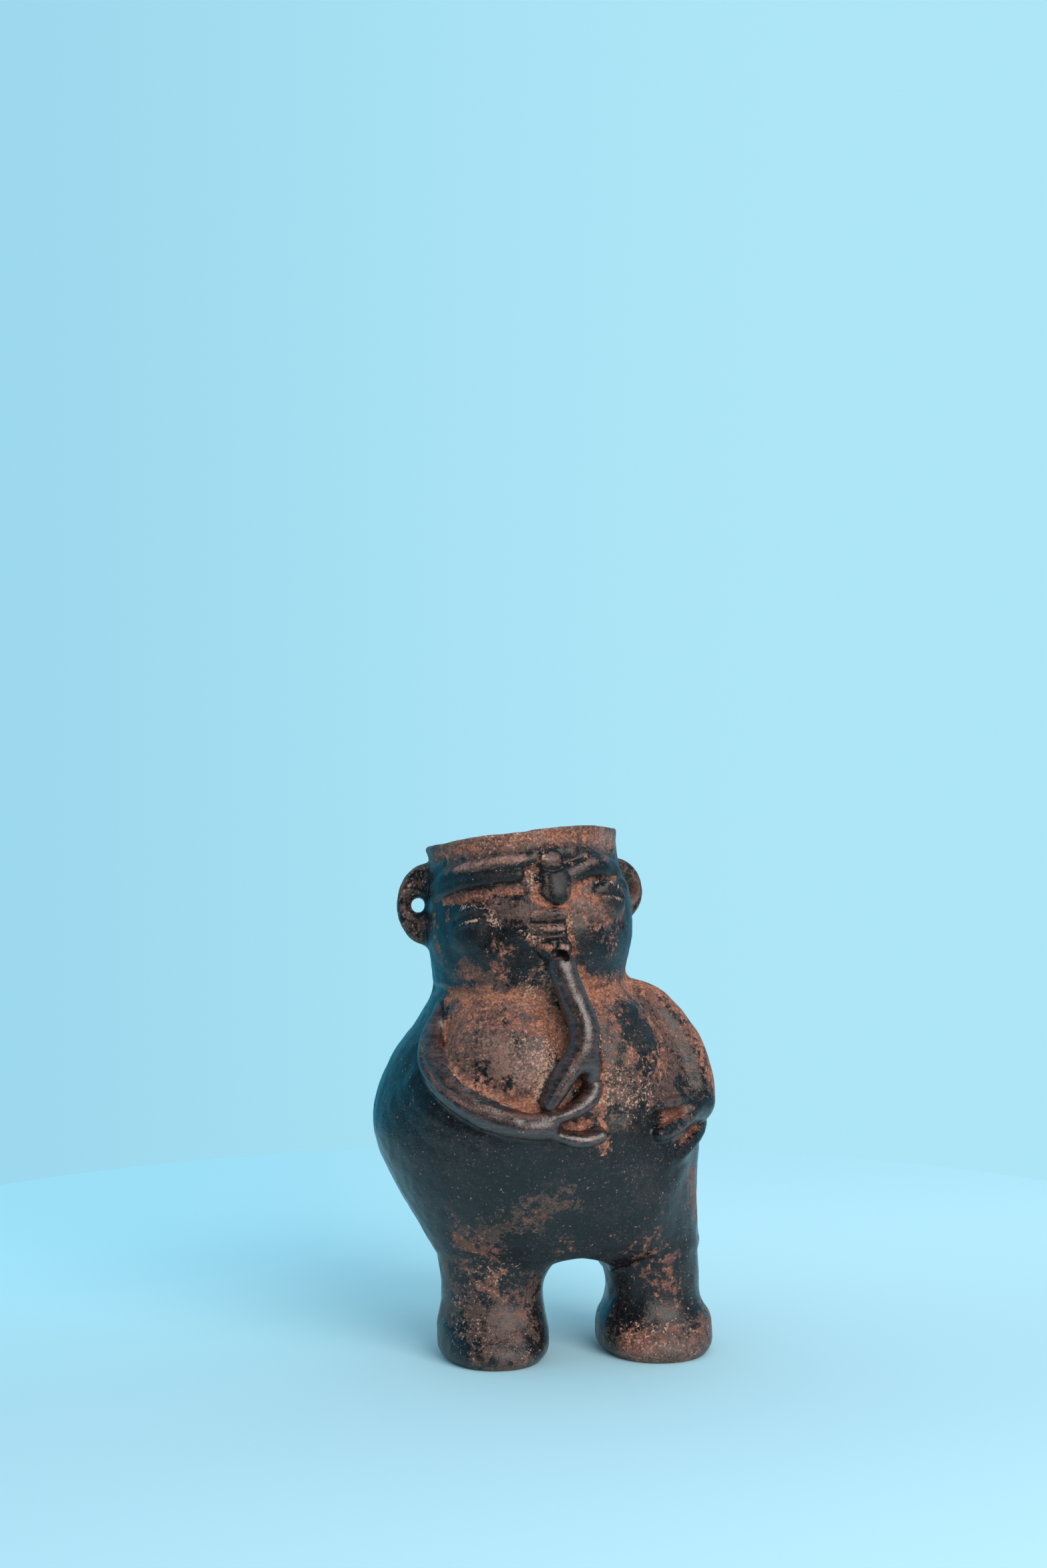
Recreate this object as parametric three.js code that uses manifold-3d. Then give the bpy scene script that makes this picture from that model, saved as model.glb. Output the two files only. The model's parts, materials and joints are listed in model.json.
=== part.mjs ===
// A hand-built clay effigy vessel: a plump standing figure whose open head is the mouth of the pot.
// Its right hand holds a flute to the chin, and its left hand rests on the belly.
//
// Millimetres, +Z up, soles at Z = 0. The figure faces -Y, so its right side is at -X.
// Places on the wall are an angle and a height. The angle is 0 at the front, 90 at the figure's left,
// and -90 at its right. The coils and domes laid on the wall follow it when its sizes change.

import * as THREE from "three";
import { mergeVertices } from "three/addons/utils/BufferGeometryUtils.js";
import Module from "manifold-3d";

const wasm = await Module();
wasm.setup();

// Heights of the courses that the pot is built up from
const FOOT_HEIGHT = 13;
const LEG_HEIGHT = 26;
const BELLY_RISE = 49; // underside of the belly to its widest line
const SHOULDER_RISE = 51; // widest line to the neck
const HEAD_HEIGHT = 45; // neck to the collar's seam
const COLLAR_RISE = 11; // collar's seam to the middle of the rim
const BELLY_SEAM_DROP = 10; // the belly's seam lies this far under the widest line

// Clay thicknesses
const BELLY_THICKNESS = 6;
const FLOOR_THICKNESS = 7;
const HEAD_THICKNESS = 5;
const RIM_THICKNESS = 4;
const LEG_THICKNESS = 6.5;

// The rim leans to the figure's right and to the back, in degrees
const RIM_LEAN_SIDE = 5.5;
const RIM_LEAN_BACK = 7;

// Legs and feet
const RIGHT_LEG_X = -19.3;
const LEFT_LEG_X = 43.1;
const LEGS_Y = 3;
const RIGHT_LEG_RADIUS = 19.2;
const LEFT_LEG_RADIUS = 17.8;
const LEG_DEPTH_RADIUS = 20; // half the leg's size from front to back
const RIGHT_FOOT_FLARE = { inner: 1, outer: 2.2 }; // how far a foot stands out beside its leg
const LEFT_FOOT_FLARE = { inner: 4.4, outer: 4.2 };
const TOE_REACH = 30; // leg's axis to the tip of the toes
const HEEL_REACH = 25;
const SOLE_ROUND = 4; // rounding between the sole and the side of a foot
const ANKLE_FORWARD = 4; // how far a leg's foot end stands out to the front
const ANKLE_BACK = 2;
const ANKLE_SWELL = 10; // height over which a leg widens into its foot
const ARCH_HEIGHT = 15; // how far down the legs the arch between them reaches
const ARCH_TOP_X = 16; // the arch's highest point
const LEG_TOP_INSET = 1.5; // the leg's top keeps this far inside the belly's underside, front and back
const LEG_SQUARE = 2.15; // how square a leg's section is, where 2 is an ellipse

// Pierced ear lugs
const EAR_THICKNESS = 7;
const EAR_HOLE_RADIUS = 3.4;
const EAR_HOLE_OUT = 4.2; // head wall to the middle of the hole
const EAR_EDGE_ROUND = 1.6;
const EAR_SWEEP = 14; // degrees that an ear's outer edge lies back
// rim is the clay outside the hole
const RIGHT_EAR = { angle: -103, up: 30.7, rim: 4.8, halfHeight: 15.4 };
const LEFT_EAR = { angle: 110, up: 35.3, rim: 4, halfHeight: 12.4 };

// The flute
const FLUTE_RADIUS = 5;
const FLUTE_HOLE_RADIUS = 2.6; // the broken hollow at its mouth end
const FLUTE_HOLE_TURN = 1.5; // degrees that the hollow lies to the left of the chin boss's middle

// The slit across an eye
const SLIT_SHARE = 0.8; // its length as a share of the eye's
const SLIT_HALF_HEIGHT = 0.55;
const SLIT_HALF_DEPTH = 1.6;
const SLIT_LIFT = 0.6; // its middle line lies this far over the eye

// Clearance between a piece and what it is luted to, where they don't share a flat seam
const SEAT_GAP = 0.3;

// How far a cutting solid runs past what it cuts
const CUT_OVERRUN = 1;

// Fineness of the faceted solids
const WALL_SIDES = 40;
const CAVITY_SIDES = 24;
const RING_STEP = 6.5;
const LEG_SIDES = 26;
const COIL_SIDES = 8;
const COIL_STEPS = 2; // rings from one station of a coil to the next
const LONGEST_CAP = 0.3; // most of a coil's length that one rounded end may take

const FLOOR_Z = FOOT_HEIGHT + LEG_HEIGHT;
const BELLY_Z = FLOOR_Z + BELLY_RISE;
const BELLY_SEAM_Z = BELLY_Z - BELLY_SEAM_DROP;
const NECK_Z = BELLY_Z + SHOULDER_RISE;
const COLLAR_Z = NECK_Z + HEAD_HEIGHT;
const RIM_Z = COLLAR_Z + COLLAR_RISE;

// Outside of the wall at its main levels: how far it stands from the middle line on the figure's
// right, left, front and back, and how square the section is, where 2 is an ellipse
const WALL = [
  { z: FLOOR_Z, right: 40.5, left: 60.3, front: 21.5, back: 26, square: 2.8 },
  { z: FLOOR_Z + 7, right: 45, left: 60.5, front: 26.5, back: 33, square: 2.6 },
  { z: BELLY_Z - 22, right: 56.8, left: 60, front: 39, back: 50, square: 2.3 },
  { z: BELLY_Z, right: 64.3, left: 60.5, front: 45, back: 59, square: 2.1 },
  { z: BELLY_Z + 24, right: 58, left: 54, front: 41.5, back: 53, square: 2.1 },
  { z: BELLY_Z + 40, right: 47, left: 42.5, front: 37, back: 42, square: 2.1 },
  { z: NECK_Z, right: 42.5, left: 31.5, front: 36, back: 35, square: 2.1 },
  { z: NECK_Z + 21, right: 44.9, left: 32.8, front: 40, back: 35.5, square: 2.1 },
  { z: COLLAR_Z - 7, right: 43.8, left: 31.6, front: 38.8, back: 33.6, square: 2.1 },
  { z: COLLAR_Z, right: 44, left: 28.6, front: 37, back: 34, square: 2 },
  { z: RIM_Z, right: 45.6, left: 26.8, front: 36.5, back: 36, square: 2 },
];

// Surface colours, as linear parts for red, green and blue
const DARK_CLAY = { color: [0.075, 0.05, 0.045], roughness: 0.35 };
const RED_CLAY = { color: [0.19, 0.085, 0.055], roughness: 0.5 };
const BROWN_CLAY = { color: [0.12, 0.075, 0.055], roughness: 0.55 };

const radians = THREE.MathUtils.degToRad;

// The wall

/** Value of one size of the wall at a height, on a smooth curve through the levels. */
function levelValue(key, z) {
  const last = WALL.length - 1;
  const slope = (i) => {
    const below = WALL[Math.max(i - 1, 0)];
    const above = WALL[Math.min(i + 1, last)];
    return (above[key] - below[key]) / (above.z - below.z);
  };
  if (z >= WALL[last].z) {
    return WALL[last][key] + (z - WALL[last].z) * slope(last);
  }
  const i = Math.max(0, WALL.findIndex((level) => level.z > z) - 1);
  const height = WALL[i + 1].z - WALL[i].z;
  const t = Math.max(0, (z - WALL[i].z) / height);
  const start = (2 * t ** 3 - 3 * t ** 2 + 1) * WALL[i][key];
  const leave = (t ** 3 - 2 * t ** 2 + t) * height * slope(i);
  const end = (3 * t ** 2 - 2 * t ** 3) * WALL[i + 1][key];
  const arrive = (t ** 3 - t ** 2) * height * slope(i + 1);
  return start + leave + end + arrive;
}

/** Point of an oval section: angle in degrees from the front towards +X. */
function ovalPoint(angle, z, { right, left, front, back, square }) {
  const power = 2 / square;
  const across = Math.sin(radians(angle));
  const ahead = Math.cos(radians(angle));
  const x = Math.sign(across) * Math.abs(across) ** power;
  const y = -Math.sign(ahead) * Math.abs(ahead) ** power;
  return new THREE.Vector3(
    (left - right) / 2 + x * ((left + right) / 2),
    (back - front) / 2 + y * ((back + front) / 2),
    z,
  );
}

/** Point on the wall's outside, or inset from it. */
function wallPoint(angle, z, inset = 0) {
  return ovalPoint(angle, z, {
    right: levelValue("right", z) - inset,
    left: levelValue("left", z) - inset,
    front: levelValue("front", z) - inset,
    back: levelValue("back", z) - inset,
    square: levelValue("square", z),
  });
}

/** Outward direction of the wall at a place. */
function wallNormal(angle, z) {
  const step = 1;
  const around = wallPoint(angle + step, z).sub(wallPoint(angle - step, z));
  const upwards = wallPoint(angle, z + step).sub(wallPoint(angle, z - step));
  return around.cross(upwards).normalize();
}

/** Height of the leaning rim over a point. */
function rimHeight(x, y) {
  const top = WALL[WALL.length - 1];
  const acrossMiddle = x - (top.left - top.right) / 2;
  const alongMiddle = y - (top.back - top.front) / 2;
  const sideways = acrossMiddle * Math.tan(radians(RIM_LEAN_SIDE));
  return RIM_Z + sideways - alongMiddle * Math.tan(radians(RIM_LEAN_BACK));
}

// Solids

/** A closed solid through rings of equal counts, each end closed by a fan to its middle. */
function loft(rings) {
  const count = rings[0].length;
  const points = rings.flat();
  const faces = [];
  for (let i = 0; i + 1 < rings.length; i += 1) {
    for (let j = 0; j < count; j += 1) {
      const a = i * count + j;
      const b = i * count + ((j + 1) % count);
      faces.push(a, b, b + count, a, b + count, a + count);
    }
  }
  const middle = (ring) => ring.reduce((sum, p) => sum.add(p), new THREE.Vector3()).divideScalar(count);
  const bottom = points.push(middle(rings[0])) - 1;
  const top = points.push(middle(rings[rings.length - 1])) - 1;
  const lastRing = (rings.length - 1) * count;
  for (let j = 0; j < count; j += 1) {
    const next = (j + 1) % count;
    faces.push(bottom, next, j, top, lastRing + j, lastRing + next);
  }
  return toSolid(points.flatMap((p) => p.toArray()), faces);
}

function toSolid(positions, faces) {
  return new wasm.Manifold(
    new wasm.Mesh({
      numProp: 3,
      vertProperties: new Float32Array(positions),
      triVerts: new Uint32Array(faces),
    }),
  );
}

/** A three.js geometry as a solid. */
function geometrySolid(geometry) {
  geometry.deleteAttribute("normal");
  geometry.deleteAttribute("uv");
  const merged = mergeVertices(geometry, 1e-4);
  return toSolid(merged.attributes.position.array, merged.index.array);
}

/** The largest body that is left when its neighbours have cut a piece. */
function largestBody(solid) {
  const bodies = solid.decompose();
  return bodies.reduce((best, body) => (body.volume() > best.volume() ? body : best));
}

/** Heights from one level to another, at an even step no longer than RING_STEP. */
function heightsBetween(low, high) {
  const steps = Math.ceil((high - low) / RING_STEP);
  return Array.from({ length: steps + 1 }, (_, i) => low + ((high - low) * i) / steps);
}

/** A level ring of the wall, inset by a thickness. */
function wallRing(z, inset, sides) {
  return Array.from({ length: sides }, (_, j) => wallPoint((360 * j) / sides, z, inset));
}

function wallSolid(low, high, inset = 0, sides = WALL_SIDES) {
  return loft(heightsBetween(low, high).map((z) => wallRing(z, inset, sides)));
}

/** The wall up to the leaning rim, from a flat base. */
function leaningSolid(base, inset, sides, extra = 0) {
  const shares = heightsBetween(0, RIM_Z - base).map((rise) => rise / (RIM_Z - base));
  const rings = shares.map((share) =>
    wallRing(base, inset, sides).map((foot, j) => {
      const full = rimHeight(foot.x, foot.y) + extra - base;
      return wallPoint((360 * j) / sides, base + share * full, inset);
    }),
  );
  return loft(rings);
}

/** A round-ended rod laid along the wall. Each station is [angle, height, half width, half depth, out],
 *  where out is how far its middle line stands from the wall. A level rod stands out level. */
function coil(stations, { grow = 0, level = false } = {}) {
  const curves = stations[0].map((_, column) => {
    const points = stations.map((station, i) => new THREE.Vector2(i, station[column]));
    return new THREE.SplineCurve(points);
  });
  const placed = (share) => {
    const [angle, z, wide, deep, out] = curves.map((curve) => curve.getPoint(share).y);
    const normal = wallNormal(angle, z);
    if (level) {
      normal.setZ(0).normalize();
    }
    return { point: wallPoint(angle, z).addScaledVector(normal, out), normal, wide, deep };
  };
  const start = placed(0);
  const length = stations.reduce((sum, _, i) => {
    const here = placed(i / (stations.length - 1)).point;
    const before = placed(Math.max(0, i - 1) / (stations.length - 1)).point;
    return sum + here.distanceTo(before);
  }, 0);
  const cap = Math.min(LONGEST_CAP, start.wide / length);
  const near = 0.02;
  const rings = rodShares(cap, (stations.length - 1) * COIL_STEPS).map(({ share, turn, end }) => {
    const here = placed(share);
    const before = placed(Math.max(0, share - near)).point;
    const along = placed(Math.min(1, share + near)).point.sub(before).normalize();
    const side = here.normal.clone().cross(along).normalize();
    const outward = along.clone().cross(side);
    const centre = here.point.clone().addScaledVector(along, end * grow * Math.cos(turn));
    const wide = (here.wide + grow) * Math.sin(turn);
    const deep = (here.deep + grow) * Math.sin(turn);
    return ellipseRing(centre, side, outward, wide, deep, COIL_SIDES);
  });
  return loft(rings);
}

/** Shares along a rod for its rings: its ends are rounded over the share cap. */
function rodShares(cap, steps) {
  const turns = [15, 42, 68].map(radians);
  const head = turns.map((turn) => ({ share: cap * (1 - Math.cos(turn)), turn, end: -1 }));
  const tail = head.map(({ share, turn }) => ({ share: 1 - share, turn, end: 1 })).reverse();
  const body = Array.from({ length: steps + 1 }, (_, i) => {
    return { share: cap + ((1 - 2 * cap) * i) / steps, turn: Math.PI / 2, end: 0 };
  });
  return [...head, ...body, ...tail];
}

function ellipseRing(centre, side, outward, wide, deep, sides) {
  return Array.from({ length: sides }, (_, j) => {
    const turn = (2 * Math.PI * j) / sides;
    return centre
      .clone()
      .addScaledVector(side, wide * Math.cos(turn))
      .addScaledVector(outward, deep * Math.sin(turn));
  });
}

/** A dome on the wall: half width, half height, and how far it stands out. */
function dome({ angle, z, wide, high, proud }, grow = 0) {
  const normal = wallNormal(angle, z);
  const side = new THREE.Vector3(0, 0, 1).cross(normal).normalize();
  const upwards = normal.clone().cross(side);
  const place = new THREE.Matrix4().makeBasis(side, upwards, normal).setPosition(wallPoint(angle, z));
  const ball = new THREE.SphereGeometry(1, 16, 8);
  ball.scale(wide + grow, high + grow, proud + grow);
  ball.applyMatrix4(place);
  return geometrySolid(ball);
}

// Body courses

const RIGHT_LEG = {
  x: RIGHT_LEG_X,
  radius: RIGHT_LEG_RADIUS,
  flare: RIGHT_FOOT_FLARE,
  outerSide: -1,
  bore: legBore(RIGHT_LEG_X, RIGHT_LEG_RADIUS),
};
const LEFT_LEG = {
  x: LEFT_LEG_X,
  radius: LEFT_LEG_RADIUS,
  flare: LEFT_FOOT_FLARE,
  outerSide: 1,
  bore: legBore(LEFT_LEG_X, LEFT_LEG_RADIUS),
};

/** The hollow of a leg, open at both ends and through the belly's floor. */
function legBore(x, radius) {
  const across = new THREE.Vector3(1, 0, 0);
  const backwards = new THREE.Vector3(0, 1, 0);
  const wide = radius - LEG_THICKNESS;
  const deep = LEG_DEPTH_RADIUS - LEG_THICKNESS;
  const ends = [FOOT_HEIGHT - CUT_OVERRUN, FLOOR_Z + FLOOR_THICKNESS + CUT_OVERRUN];
  const middles = ends.map((z) => new THREE.Vector3(x, LEGS_Y, z));
  return loft(middles.map((middle) => ellipseRing(middle, across, backwards, wide, deep, CAVITY_SIDES)));
}

function makeLowerBody() {
  const shell = wallSolid(FLOOR_Z, BELLY_SEAM_Z);
  const hollowTop = BELLY_SEAM_Z + CUT_OVERRUN;
  const hollow = wallSolid(FLOOR_Z + FLOOR_THICKNESS, hollowTop, BELLY_THICKNESS, CAVITY_SIDES);
  return shell.subtract(hollow).subtract(RIGHT_LEG.bore).subtract(LEFT_LEG.bore);
}

/** A course of the wall that is open at both ends. */
function openCourse(low, high, thickness) {
  const hollow = wallSolid(low - CUT_OVERRUN, high + CUT_OVERRUN, thickness, CAVITY_SIDES);
  return wallSolid(low, high).subtract(hollow);
}

function makeUpperBody() {
  return openCourse(BELLY_SEAM_Z, NECK_Z, BELLY_THICKNESS);
}

function makeHeadWall() {
  return openCourse(NECK_Z, COLLAR_Z, HEAD_THICKNESS);
}

function makeRimCollar() {
  const shell = leaningSolid(COLLAR_Z, 0, WALL_SIDES);
  const hollow = leaningSolid(COLLAR_Z - CUT_OVERRUN, RIM_THICKNESS, CAVITY_SIDES, CUT_OVERRUN);
  return shell.subtract(hollow);
}

/** A leg: an upright tube that opens out into the belly above it, with half of the crotch's arch. */
function makeLeg({ x, radius, flare, outerSide, bore }) {
  const archFoot = FLOOR_Z - ARCH_HEIGHT;
  const archShares = [0.25, 0.5, 0.7, 0.85, 0.95, 1];
  const heights = heightsBetween(FOOT_HEIGHT, archFoot);
  heights.push(...archShares.map((share) => archFoot + share * ARCH_HEIGHT));
  const innerTop = Math.abs(ARCH_TOP_X - x) - SEAT_GAP;
  const outerTop = (outerSide < 0 ? WALL[0].right : WALL[0].left) - Math.abs(x);
  const frontTop = WALL[0].front + LEGS_Y - LEG_TOP_INSET;
  const backTop = WALL[0].back - LEGS_Y - LEG_TOP_INSET;
  const rings = heights.map((z) => {
    const climb = Math.max(0, (z - archFoot) / ARCH_HEIGHT);
    const arch = 1 - Math.sqrt(Math.max(0, 1 - climb ** 2));
    const swell = climb ** 2;
    const ankle = Math.max(0, 1 - (z - FOOT_HEIGHT) / ANKLE_SWELL) ** 2;
    const reach = {
      inner: radius + arch * (innerTop - radius) + ankle * flare.inner,
      outer: radius + swell * (outerTop - radius) + ankle * flare.outer,
      front: LEG_DEPTH_RADIUS + swell * (frontTop - LEG_DEPTH_RADIUS) + ankle * ANKLE_FORWARD,
      back: LEG_DEPTH_RADIUS + swell * (backTop - LEG_DEPTH_RADIUS) + ankle * ANKLE_BACK,
    };
    return footprint(x, z, reach, outerSide);
  });
  return loft(rings).subtract(bore);
}

/** Section of a leg or foot with its own reach to each side of the leg's axis. */
function footprint(x, z, reach, outerSide) {
  const right = outerSide < 0 ? reach.outer : reach.inner;
  const left = outerSide < 0 ? reach.inner : reach.outer;
  const { front, back } = reach;
  return Array.from({ length: LEG_SIDES }, (_, j) => {
    const point = ovalPoint((360 * j) / LEG_SIDES, z, { right, left, front, back, square: LEG_SQUARE });
    return point.add(new THREE.Vector3(x, LEGS_Y, 0));
  });
}

/** A solid foot with a flat sole and a rounded edge. */
function makeFoot({ x, radius, flare, outerSide }) {
  const heights = [0, 0.15, 0.45, 1].map((share) => share * SOLE_ROUND);
  heights.push((SOLE_ROUND + FOOT_HEIGHT) / 2, FOOT_HEIGHT);
  const rings = heights.map((z) => {
    const below = Math.max(0, 1 - z / SOLE_ROUND);
    const inset = SOLE_ROUND * (1 - Math.sqrt(1 - below ** 2));
    const instep = Math.max(0, (z - SOLE_ROUND) / (FOOT_HEIGHT - SOLE_ROUND)) ** 1.5;
    const reach = {
      inner: radius + flare.inner - inset,
      outer: radius + flare.outer - inset,
      front: TOE_REACH - inset - instep * (TOE_REACH - LEG_DEPTH_RADIUS - ANKLE_FORWARD),
      back: HEEL_REACH - inset - instep * (HEEL_REACH - LEG_DEPTH_RADIUS - ANKLE_BACK),
    };
    return footprint(x, z, reach, outerSide);
  });
  return loft(rings);
}

// The courses as one solid, grown by the seat gap, to cut whatever is laid on the outside
const grownWall = [
  wallSolid(FLOOR_Z, BELLY_SEAM_Z, -SEAT_GAP),
  wallSolid(BELLY_SEAM_Z, NECK_Z, -SEAT_GAP),
  wallSolid(NECK_Z, COLLAR_Z, -SEAT_GAP),
  leaningSolid(COLLAR_Z, -SEAT_GAP, WALL_SIDES),
].reduce((grown, course) => grown.add(course));

function seat(solid, ...neighbours) {
  const seated = neighbours.reduce((rest, other) => rest.subtract(other), solid.subtract(grownWall));
  return largestBody(seated);
}

/** A pierced lug that stands out from the side of the head, with its hole from front to back. */
function makeEar({ angle, up, rim, halfHeight }) {
  const reach = EAR_HOLE_OUT + EAR_HOLE_RADIUS + rim;
  const root = wallPoint(angle, NECK_Z + up);
  const outwards = Math.sign(root.x);
  const inset = EAR_EDGE_ROUND;
  const outline = new THREE.Shape();
  outline.absellipse(-inset, 0, reach, halfHeight - inset, -Math.PI / 2, Math.PI / 2);
  outline.lineTo(-reach / 2, halfHeight - inset);
  outline.lineTo(-reach / 2, inset - halfHeight);
  const hole = new THREE.Path();
  hole.absarc(EAR_HOLE_OUT, 0, EAR_HOLE_RADIUS + inset, 0, 2 * Math.PI);
  outline.holes.push(hole);
  const lug = new THREE.ExtrudeGeometry(outline, {
    depth: EAR_THICKNESS - 2 * inset,
    bevelThickness: inset,
    bevelSize: inset,
    bevelSegments: 2,
    curveSegments: 10,
  });
  lug.translate(0, 0, inset - EAR_THICKNESS / 2);
  lug.rotateX(Math.PI / 2);
  if (outwards < 0) {
    lug.rotateZ(Math.PI);
  }
  lug.rotateZ(outwards * radians(EAR_SWEEP));
  lug.translate(root.x, root.y, root.z);
  return seat(geometrySolid(lug));
}

// Face. Heights are above the neck.

const KNOB = { angle: 6, z: NECK_Z + 48, wide: 4.9, high: 3.7, proud: 3.6 };
const RIGHT_EYE = { angle: -45.5, z: NECK_Z + 29, wide: 6.6, high: 4, proud: 2.2, tilt: 14 };
const LEFT_EYE = { angle: 39, z: NECK_Z + 35.6, wide: 5.6, high: 4.6, proud: 2.6, tilt: -8 };
const CHIN = { angle: 2.4, z: NECK_Z + 18.4, wide: 7.6, high: 5.4, proud: 6.4 };

const HEADBAND = onHead([
  [-86, 37, 2, 1.4, 0],
  [-66, 41, 2.6, 2, 0.2],
  [-46, 44.6, 2.8, 2.2, 0.3],
  [-20, 48.6, 2.8, 2.2, 0.4],
  [1, 50.8, 2.8, 2.2, 0.4],
  [22, 51, 2.8, 2.2, 0.3],
  [40, 48.8, 2.7, 2, 0.2],
  [60, 44, 2.2, 1.5, 0],
]);
const RIGHT_BROW = onHead([
  [-80, 32.4, 1.8, 1.2, 0],
  [-53, 38, 2.4, 2.2, 0.4],
  [-30, 41, 2.5, 2.4, 0.5],
  [-6, 43.2, 2.3, 2.2, 0.5],
]);
const LEFT_BROW = onHead([
  [16, 42.6, 2.4, 2, 0.4],
  [29, 45, 2.7, 2.3, 0.4],
  [43, 44.4, 2.6, 2.2, 0.3],
  [57, 40.5, 2, 1.5, 0],
]);
const NOSE = onHead([
  [5.4, 45.2, 3.8, 3, 0.4],
  [4.6, 40, 4.5, 4, 0.9],
  [3.6, 35.2, 4.7, 4.2, 1.1],
]);
const UPPER_LIP = onHead([
  [-8, 29.8, 1.6, 1.6, 0],
  [0, 30.6, 2, 2.4, 0.5],
  [8.5, 30.4, 1.6, 1.8, 0],
]);
const LOWER_LIP = onHead([
  [-6, 25.8, 1.5, 1.5, 0],
  [1.5, 26.2, 1.9, 2.2, 0.4],
  [9, 26.4, 1.5, 1.7, 0],
]);

// Arms, hands and flute. Heights are above the widest line of the belly.

const FLUTE = onBelly([
  [3.6, 68, FLUTE_RADIUS + 0.8, FLUTE_RADIUS, 3],
  [6.4, 60, FLUTE_RADIUS, FLUTE_RADIUS, 6],
  [9.6, 50, FLUTE_RADIUS, FLUTE_RADIUS, 8.6],
  [8.4, 40, FLUTE_RADIUS, FLUTE_RADIUS, 9],
  [6.6, 31, FLUTE_RADIUS, FLUTE_RADIUS, 7.8],
  [5.4, 24, FLUTE_RADIUS - 0.6, FLUTE_RADIUS, 6],
]);
const RIGHT_THUMB = onBelly([
  [6.2, 26, 4, 4.6, 5.6],
  [2, 19.5, 4.2, 4.6, 4.6],
  [-2.5, 12.5, 3.8, 4, 3],
  [-6.5, 6, 3.2, 3.4, 1.8],
]);
const RIGHT_UPPER_FINGER = onBelly([
  [-7, 6, 3.4, 4, 2.4],
  [0, 7.8, 3.4, 4.2, 3],
  [6.4, 11, 3.4, 4.2, 3.4],
  [11, 16.4, 3, 3.8, 3.4],
  [12.4, 22.4, 1.8, 2.6, 2.8],
]);
const RIGHT_LOWER_FINGER = onBelly([
  [-4, 2.6, 2, 2.2, 0.8],
  [2, 0, 2.4, 2.8, 1.3],
  [7.5, -0.8, 2.6, 3.1, 1.6],
  [13.6, 2, 2.4, 2.8, 1.4],
]);
const RIGHT_ARM = onBelly([
  [-69, 46, 2.6, 2, -0.8],
  [-63.5, 37, 3.9, 3.7, 0],
  [-55.5, 29, 4.5, 4.5, 0.8],
  [-47, 21.6, 4.5, 4.7, 1.3],
  [-38.5, 15.2, 4.5, 4.7, 1.6],
  [-28.5, 9.8, 4.5, 4.7, 1.8],
  [-19, 6.4, 4.5, 4.7, 2],
  [-9, 4.6, 4.3, 4.7, 2.2],
  [-3, 4.8, 3.8, 4.2, 2],
]);
const LEFT_ARM = onBelly([
  [91, 47, 6, 3.8, -0.4],
  [84, 44.5, 8.4, 4.8, 3],
  [77, 36, 9, 5.2, 4.2],
  [73, 25, 9, 5.2, 4.6],
  [71, 14, 8.6, 5.2, 4.2],
  [70, 4, 6.4, 4.4, 2.4],
]);
const LEFT_HAND = onBelly([
  [72, 8, 5, 4.6, 1.8],
  [62, 7.4, 4.8, 4.4, 1.6],
  [53, 5.2, 3.8, 3.4, 0.8],
]);
const LEFT_FINGER_1 = onBelly([
  [62, 11, 1.8, 2.4, 1],
  [48, 10.6, 2.1, 3, 1.2],
  [37.5, 9.2, 1.8, 2.4, 0.8],
]);
const LEFT_FINGER_2 = onBelly([
  [57, 4.6, 2.2, 2.6, 1],
  [46, 0.6, 2.4, 3, 1.2],
  [37.5, -2.6, 2, 2.4, 0.9],
]);
const LEFT_FINGER_3 = onBelly([
  [76, 0.4, 2, 2.2, 0.8],
  [62, -4.4, 2.2, 2.6, 0.9],
  [45, -11, 1.8, 2, 0.4],
]);
const RIGHT_BREAST = { angle: -26.2, z: BELLY_Z + 33.2, wide: 16.5, high: 15.5, proud: 4.6 };
const LEFT_BREAST = { angle: 29, z: BELLY_Z + 33, wide: 13, high: 15, proud: 3.2 };

function onHead(stations) {
  return stations.map(([angle, up, ...sizes]) => [angle, NECK_Z + up, ...sizes]);
}

function onBelly(stations) {
  return stations.map(([angle, up, ...sizes]) => [angle, BELLY_Z + up, ...sizes]);
}

// A rod or dome grown by the seat gap, to cut its neighbours
const coilCutter = (stations) => coil(stations, { grow: SEAT_GAP });
const domeCutter = (sizes) => dome(sizes, SEAT_GAP);
const fluteCutter = coil(FLUTE, { grow: SEAT_GAP, level: true });

/** A bean-shaped eye with a slit across it. */
function makeEye(eye) {
  const normal = wallNormal(eye.angle, eye.z);
  const slit = new THREE.SphereGeometry(1, 12, 8);
  slit.scale(eye.wide * SLIT_SHARE, SLIT_HALF_HEIGHT, SLIT_HALF_DEPTH);
  slit.rotateZ(radians(eye.tilt));
  const side = new THREE.Vector3(0, 0, 1).cross(normal).normalize();
  const place = new THREE.Matrix4().makeBasis(side, normal.clone().cross(side), normal);
  place.setPosition(wallPoint(eye.angle, eye.z).addScaledVector(normal, eye.proud + SLIT_LIFT));
  slit.applyMatrix4(place);
  return seat(dome(eye).subtract(geometrySolid(slit)));
}

/** The boss under the lips that the flute springs from, with the broken hollow in it. */
function makeChin() {
  const pitAt = wallPoint(CHIN.angle + FLUTE_HOLE_TURN, CHIN.z);
  pitAt.addScaledVector(wallNormal(CHIN.angle, CHIN.z), CHIN.proud);
  const pit = new THREE.SphereGeometry(FLUTE_HOLE_RADIUS, 12, 8);
  pit.translate(pitAt.x, pitAt.y, pitAt.z);
  return seat(dome(CHIN).subtract(geometrySolid(pit)), coilCutter(LOWER_LIP));
}

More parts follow.
